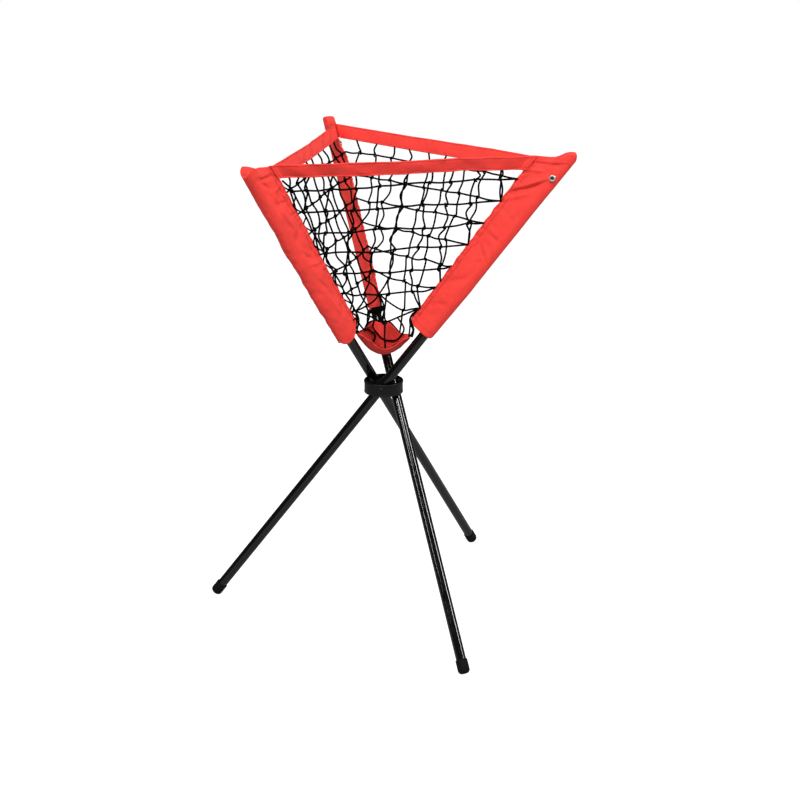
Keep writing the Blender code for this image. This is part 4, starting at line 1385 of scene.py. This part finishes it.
def edge_cords(plan):
    """The cord round the net's sides and foot, and the lacing that ties it to the sleeves."""
    downs = np.linspace(0.0, plan.depth, EDGE_STEPS)
    foot = [plan.foot(swing) for swing in np.linspace(-1, 1, 15)]
    sides, laces = [], []
    for side in (0, 1):
        first = 0 if (plan.name, side) in LACED else HELD_STEPS
        sides.append([edge_spot(plan, side, down) for down in downs[first:]])
        if first:
            sides[-1][0] = plan.border(side, downs[first], hem=True)
            continue
        lace = []
        for number, down in enumerate(np.arange(0.010, plan.depth * 0.94, LACE_STEP)):
            lift = plan.facing * 0.0012 * (1 if number % 4 < 2 else -1)
            if number % 2:
                inward = edge_spot(plan, side, down) - plan.border(side, down, hem=True)
                lace.append(edge_spot(plan, side, down) + inward / np.linalg.norm(inward) * 0.0006 + lift)
            else:
                lace.append(plan.border(side, down, hem=True) + lift)
        laces.append(spline(lace, 5))
    return [spline([*sides[0], *foot, *sides[1][::-1]], 2)], laces


def knot_line(plan, spot, thick, draw):
    """A cord wrapped one and a half times round a crossing, on the slant."""
    tilt = draw.uniform(0.5, 1.1) * (1 if draw.random() > 0.5 else -1)
    axis = plan.side_way * cos(tilt) + plan.down_way * sin(tilt)
    first = np.cross(axis, plan.facing)
    first /= np.linalg.norm(first)
    turn = np.linspace(0, 3.1 * pi, 19) + draw.uniform(0, 2 * pi)
    reach = thick * WRAP_REACH
    along = np.linspace(-0.75, 0.75, len(turn)) * thick
    return (
        spot
        + reach * (np.outer(np.cos(turn), first) + np.outer(np.sin(turn), plan.facing) * 0.9)
        + np.outer(along, axis)
    )


def make_net(name):
    """One net of knotted cord, cut in four pieces."""
    net = settings().net
    plan = NetPlan(name)
    draw = np.random.default_rng(net.seed + 10 * list(PANELS).index(name))
    lines, knots = net_cords(plan, draw, net.slack)
    shape = Shape()
    for number, line in enumerate(lines):
        shape.tube(line, net.cord / 2, sides=7, lay=0.37 * number)
    for spot in knots:
        shape.tube(knot_line(plan, spot, net.cord, draw), net.cord * WRAP_RADIUS, sides=6)
    edges, laces = edge_cords(plan)
    for line in edges:
        shape.tube(line, net.cord * 0.5, sides=7)
    for line in laces:
        shape.tube(line, net.cord * LACE_RADIUS, sides=6)
    whole = shape.piece(f"net_{name}", net_cord())
    middle_top, middle_low = (plan.left[0] + plan.right[0]) / 2, plan.placed(0.0, plan.depth)
    for leg, border in zip(plan.legs, (plan.left, plan.right)):
        corners = middle_top, middle_low, border[0], border[2]
        for part in ("edge", "middle"):
            made = net_part(whole, f"net_{name}_{leg}_{part}", plan.facing, corners, part)
            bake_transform(made)
            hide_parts(f"net_panel_{name}")
    bpy.data.objects.remove(whole)


def net_part(whole, name, facing, corners, part):
    """A quarter of a net: cut at its middle line and from the middle's top to the edge's foot."""
    middle_top, middle_low, edge_top, edge_low = corners
    shape = bmesh.new()
    shape.from_mesh(whole.data)
    level = Vector((*(middle_low - middle_top)[:2], 0)).normalized()
    side = Vector((-level.y, level.x, 0))
    if side.dot(Vector(edge_top - middle_top)) < 0:
        side = -side
    slant = Vector(np.cross(edge_low - middle_top, facing)).normalized()
    if slant.dot(Vector(edge_top - middle_top)) < 0:
        slant = -slant
    if part == "middle":
        slant = -slant
    for normal in (side, slant):
        cut = bmesh.ops.bisect_plane(
            shape, geom=shape.verts[:] + shape.edges[:] + shape.faces[:], dist=1e-7,
            plane_co=Vector(middle_top), plane_no=normal, clear_inner=True,
        )
        rim = [item for item in cut["geom_cut"] if isinstance(item, bmesh.types.BMEdge)]
        bmesh.ops.holes_fill(shape, edges=rim, sides=24)
    data = bpy.data.meshes.new(name)
    shape.to_mesh(data)
    shape.free()
    data.materials.append(whole.data.materials[0])
    data.shade_smooth()
    made = bpy.data.objects.new(name, data)
    bpy.context.scene.collection.objects.link(made)
    return made


def make_ties():
    """Cords that tie the patch to the sleeves: a lashing at the rear and loops at the sides."""
    net = settings().net
    surface = sleeve_surface("rear")
    shape = Shape()
    columns = surface.shape[1]
    for layer, (turns, lift, rise) in enumerate(LASHING):
        line = []
        for step in range(int(turns * 36)):
            turned = step / 36
            spot = surface[9][int(round(turned % 1 * columns)) % columns]
            way = np.array((spot[0] - 0.012, spot[1] * 2.2, 0))
            low = LASHING_PLACE - LASHING_SLANT * (spot[0] - 0.010)
            spot = spot * (1, 1, 0) + way / np.linalg.norm(way) * lift
            line.append(spot + (0, 0, low + 0.001 * layer + rise * turned))
        line = np.array(line)
        shape.tube(on_leg("rear", line[:, 0], line[:, 1], line[:, 2]), net.cord * 0.5, sides=7)
    draw = np.random.default_rng(net.seed + 90)
    for reach, side, way in STRANDS:
        start = on_leg("rear", reach, side, 0.150 - LASHING_SLANT * (reach - 0.010))
        end = patch_point(np.array(radians(way)), np.array(0.97))
        stray = draw.normal(size=(2, 3)) * 0.0013
        between = [start + (end - start) * far + off for far, off in zip((0.35, 0.7), stray)]
        bent = [start, *between, end]
        shape.tube(spline([*bent, end - (0, 0, 0.005)], 6), net.cord * 0.48, sides=7)
    made = shape.piece("rear_lashing", net_cord())
    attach(made, "leg_rear")
    for leg in ("right", "left"):
        shape = Shape()
        tip = patch_point(np.array(patch_turn(leg)), np.array(0.93))
        edge = float(read_off(INNER[leg], 0.147))
        spots = [on_leg(leg, edge + reach, side, place) for reach, side, place in TIE_SPOTS]
        spots += [tip + (0, 0, 0.004), tip + (0, 0, 0.001)]
        shape.tube(spline(spots, 7), net.cord * 0.46, sides=7)
        made = shape.piece(f"corner_tie_{leg}", net_cord())
        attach(made, f"leg_{leg}")


# Rivets


def make_eyelets():
    """A rolled rim on each rivet's two heads, and inside it a near-black dish of painted shade where the
    hole is.
    """
    for leg in LEGS:
        ring, hollow = Shape(), Shape()
        node = frame["nodes"][f"sleeve_rivet_{leg}"]
        corners = np.array([node.matrix_world @ Vector(corner) for corner in node.bound_box])
        centre = corners.mean(axis=0)
        across = -np.array(HINGES[f"leg_{leg}"]["axis"], float)
        half = float(np.ptp([vertex.co @ Vector(across) for vertex in node.data.vertices]) / 2)
        first = np.cross(across, (0, 0, 1))
        second = np.cross(across, first)
        for way in (1, -1):
            turn = np.linspace(0, 2 * pi, 33)
            middle = centre + across * way * (half - 0.0002)
            round_it = np.outer(np.cos(turn), first) + np.outer(np.sin(turn), second)
            ring.tube(middle + round_it * EYELET_RADIUS, EYELET_ROLL, sides=8)
            radii, rise = np.array(HOLLOW_RADII), np.array(HOLLOW_RISE)
            spots = middle + radii[:, None, None] * round_it + rise[:, None, None] * across * way
            hollow.grid(spots, np.stack(np.broadcast_arrays(radii[:, None], turn[None, :]), axis=-1))
        nickel = skin("rivet_rim", settings().finish.nickel, 0.4, 0.1, Metallic=1.0)
        made = ring.piece(f"rivet_rim_{leg}", nickel)
        # Painted shade: a near-black dish where the rivet's hole is.
        dark = hollow.piece(f"rivet_hole_shade_{leg}", skin("rivet_hole_shade", HOLLOW_SHADE, 0.5, 0.1))
        tidy_normals(dark, merge=True)
        for piece in (made, dark):
            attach(piece, f"leg_{leg}")


# Operators


class CADDY_OT_stage(bpy.types.Operator):
    """Floor, lights and the photograph's camera"""

    bl_idname = "caddy.stage"
    bl_label = "Stage"

    def execute(self, context):
        make_stage()
        return {"FINISHED"}


class CADDY_OT_tubes(bpy.types.Operator):
    """Glossy black paint for the three tubes"""

    bl_idname = "caddy.tubes"
    bl_label = "Tubes"

    def execute(self, context):
        colour = settings().finish.paint
        paint = skin("tube_paint", colour, 0.08, 0.15, grain=(500.0, 0.000006), Specular_IOR_Level=0.45)
        repaint([f"leg_tube_{leg}" for leg in LEGS], paint)
        return {"FINISHED"}


class CADDY_OT_hub(bpy.types.Operator):
    """Moulded plastic for the hub and the tubes' plugs"""

    bl_idname = "caddy.hub"
    bl_label = "Hub and Plugs"

    def execute(self, context):
        colour = settings().finish.plastic
        paint = skin("hub_plastic", colour, 0.36, 0.35, grain=(1500.0, 0.00006), Specular_IOR_Level=0.2)
        repaint(["hub", *[f"top_plug_{leg}" for leg in LEGS]], paint)
        return {"FINISHED"}


class CADDY_OT_feet(bpy.types.Operator):
    """Matt rubber for the foot caps"""

    bl_idname = "caddy.feet"
    bl_label = "Feet"

    def execute(self, context):
        colour = settings().finish.rubber
        paint = skin("foot_rubber", colour, 0.62, 0.12, grain=(1100.0, 0.00012), Specular_IOR_Level=0.08)
        repaint([f"foot_cap_{leg}" for leg in LEGS], paint)
        return {"FINISHED"}


class CADDY_OT_pivots(bpy.types.Operator):
    """Blackened pivot bolts and dark nylon spacers"""

    bl_idname = "caddy.pivots"
    bl_label = "Pivots"

    def execute(self, context):
        steel = skin("pivot_steel", BLACKENED, 0.4, 0.2, grain=(2200.0, 0.00002), Metallic=0.5)
        repaint([f"pivot_bolt_{leg}" for leg in LEGS], steel)
        repaint([f"pivot_spacer_{leg}" for leg in LEGS], skin("nylon", DARK_NYLON, 0.45, 0.1))
        return {"FINISHED"}


class CADDY_OT_rivets(bpy.types.Operator):
    """Nickel rivets through the sleeves"""

    bl_idname = "caddy.rivets"
    bl_label = "Rivets"

    def execute(self, context):
        colour = settings().finish.nickel
        paint = skin("rivet_steel", colour, 0.38, 0.2, grain=(2600.0, 0.00001), Metallic=1.0)
        repaint([f"sleeve_rivet_{leg}" for leg in LEGS], paint)
        make_eyelets()
        return {"FINISHED"}


class CADDY_OT_sleeves(bpy.types.Operator):
    """Fabric sleeves over the tubes"""

    bl_idname = "caddy.sleeves"
    bl_label = "Sleeves"

    def execute(self, context):
        for leg in LEGS:
            make_sleeve(leg)
        return {"FINISHED"}


class CADDY_OT_bands(bpy.types.Operator):
    """Hemmed bands along the rim"""

    bl_idname = "caddy.bands"
    bl_label = "Rim Bands"

    def execute(self, context):
        for name in PANELS:
            make_band(name)
        return {"FINISHED"}


class CADDY_OT_nets(bpy.types.Operator):
    """Knotted nets between the sleeves"""

    bl_idname = "caddy.nets"
    bl_label = "Nets"

    def execute(self, context):
        for name in PANELS:
            make_net(name)
        make_ties()
        return {"FINISHED"}


class CADDY_OT_patch(bpy.types.Operator):
    """Floor patch that closes the basket's bottom"""

    bl_idname = "caddy.patch"
    bl_label = "Floor Patch"

    def execute(self, context):
        make_patch()
        return {"FINISHED"}


# Stage


def add_light(name, place, aim, size, power):
    """A rectangular light."""
    data = bpy.data.lights.new(name, "AREA")
    data.energy = power
    data.shape = "RECTANGLE"
    data.size, data.size_y = size
    made = bpy.data.objects.new(name, data)
    made.location = place
    made.rotation_euler = (Vector(aim) - Vector(place)).to_track_quat("-Z", "Y").to_euler()
    bpy.context.scene.collection.objects.link(made)


def make_camera(stage):
    """The photograph's camera."""
    camera = bpy.data.cameras.new("camera")
    camera.lens = stage.lens
    camera.sensor_width = SENSOR
    camera.clip_end = 50
    eye = bpy.data.objects.new("camera", camera)
    az, el = stage.azimuth, stage.elevation
    back = Vector((sin(az) * cos(el), -cos(az) * cos(el), sin(el)))
    eye.location = Vector(AIM) + back * stage.distance
    look = (-back).to_track_quat("-Z", "Y").to_matrix()
    eye.rotation_euler = (look @ Matrix.Rotation(CAMERA_ROLL, 3, "Z")).to_euler()
    bpy.context.scene.collection.objects.link(eye)
    bpy.context.scene.camera = eye


def make_floor(colour):
    """A pale floor, white to the camera, that keeps the object's shadow."""
    line = np.linspace(-FLOOR_HALF, FLOOR_HALF, 13)
    x, y = np.meshgrid(line, line)
    shape = Shape()
    shape.grid(np.stack((x, y, np.zeros_like(x)), axis=-1), np.stack((x, y), axis=-1))
    paint = bpy.data.materials.new("floor")
    paint.use_nodes = True
    w = Wiring(paint.node_tree)
    shader = paint.node_tree.nodes["Principled BSDF"]
    shader.inputs["Base Color"].default_value = (*colour, 1)
    shader.inputs["Roughness"].default_value = 0.9
    shader.inputs["Specular IOR Level"].default_value = 0.0
    shader.inputs["Emission Color"].default_value = (1, 1, 1, 1)
    seen = w.node("ShaderNodeLightPath").outputs["Is Camera Ray"]
    w.feed(shader.inputs["Emission Strength"], w.maths("MULTIPLY", seen, FLOOR_GLOW))
    floor = shape.piece("floor", paint, smooth_all=False)


def make_world():
    """A studio that the camera sees white and that lights the object more faintly."""
    world = bpy.data.worlds.new("studio")
    bpy.context.scene.world = world
    world.use_nodes = True
    w = Wiring(world.node_tree)
    background = world.node_tree.nodes["Background"]
    background.inputs["Color"].default_value = (1, 1, 1, 1)
    rays = w.node("ShaderNodeLightPath").outputs
    shown = w.spread(rays["Is Camera Ray"], 0.0, 1.0, WORLD_LIGHT, WORLD_SEEN)
    dimmed = w.maths("MULTIPLY", rays["Is Glossy Ray"], WORLD_DIMMED)
    w.feed(background.inputs["Strength"], w.maths("SUBTRACT", shown, dimmed))


def make_stage():
    """The camera, a floor, the world and the lights."""
    stage = settings().stage
    bpy.context.scene.view_settings.view_transform = "Standard"
    make_camera(stage)
    make_floor(stage.floor_colour)
    make_world()
    add_light("key", *KEY_LIGHT, stage.key_power)
    for light in SIDE_LIGHTS:
        add_light(*light)


# Panel


class CADDY_PT_panel(bpy.types.Panel):
    """Buttons for each group of pieces"""

    bl_idname = "CADDY_PT_panel"
    bl_label = "Ball Caddy"
    bl_space_type = "VIEW_3D"
    bl_region_type = "UI"
    bl_category = "Ball Caddy"

    def draw(self, context):
        for group in ("stage", "finish", "cloth", "net"):
            values = getattr(context.scene.ball_caddy, group)
            box = self.layout.box()
            box.label(text=group.title())
            for name in values.__annotations__:
                box.prop(values, name)
        for operator in STEPS:
            self.layout.operator(operator.bl_idname)


STEPS = (
    CADDY_OT_stage,
    CADDY_OT_tubes,
    CADDY_OT_hub,
    CADDY_OT_feet,
    CADDY_OT_pivots,
    CADDY_OT_rivets,
    CADDY_OT_sleeves,
    CADDY_OT_bands,
    CADDY_OT_nets,
    CADDY_OT_patch,
)
CLASSES = (
    CaddyStageSettings,
    CaddyClothSettings,
    CaddyNetSettings,
    CaddyFinishSettings,
    CaddySettings,
    *STEPS,
    CADDY_PT_panel,
)


def register():
    for item in CLASSES:
        bpy.utils.register_class(item)
    bpy.types.Scene.ball_caddy = bpy.props.PointerProperty(type=CaddySettings)


def unregister():
    del bpy.types.Scene.ball_caddy
    for item in reversed(CLASSES):
        bpy.utils.unregister_class(item)


def main():
    register()
    for step in STEPS:
        group, action = step.bl_idname.split(".")
        getattr(getattr(bpy.ops, group), action)()


if __name__ == "__main__":
    main()
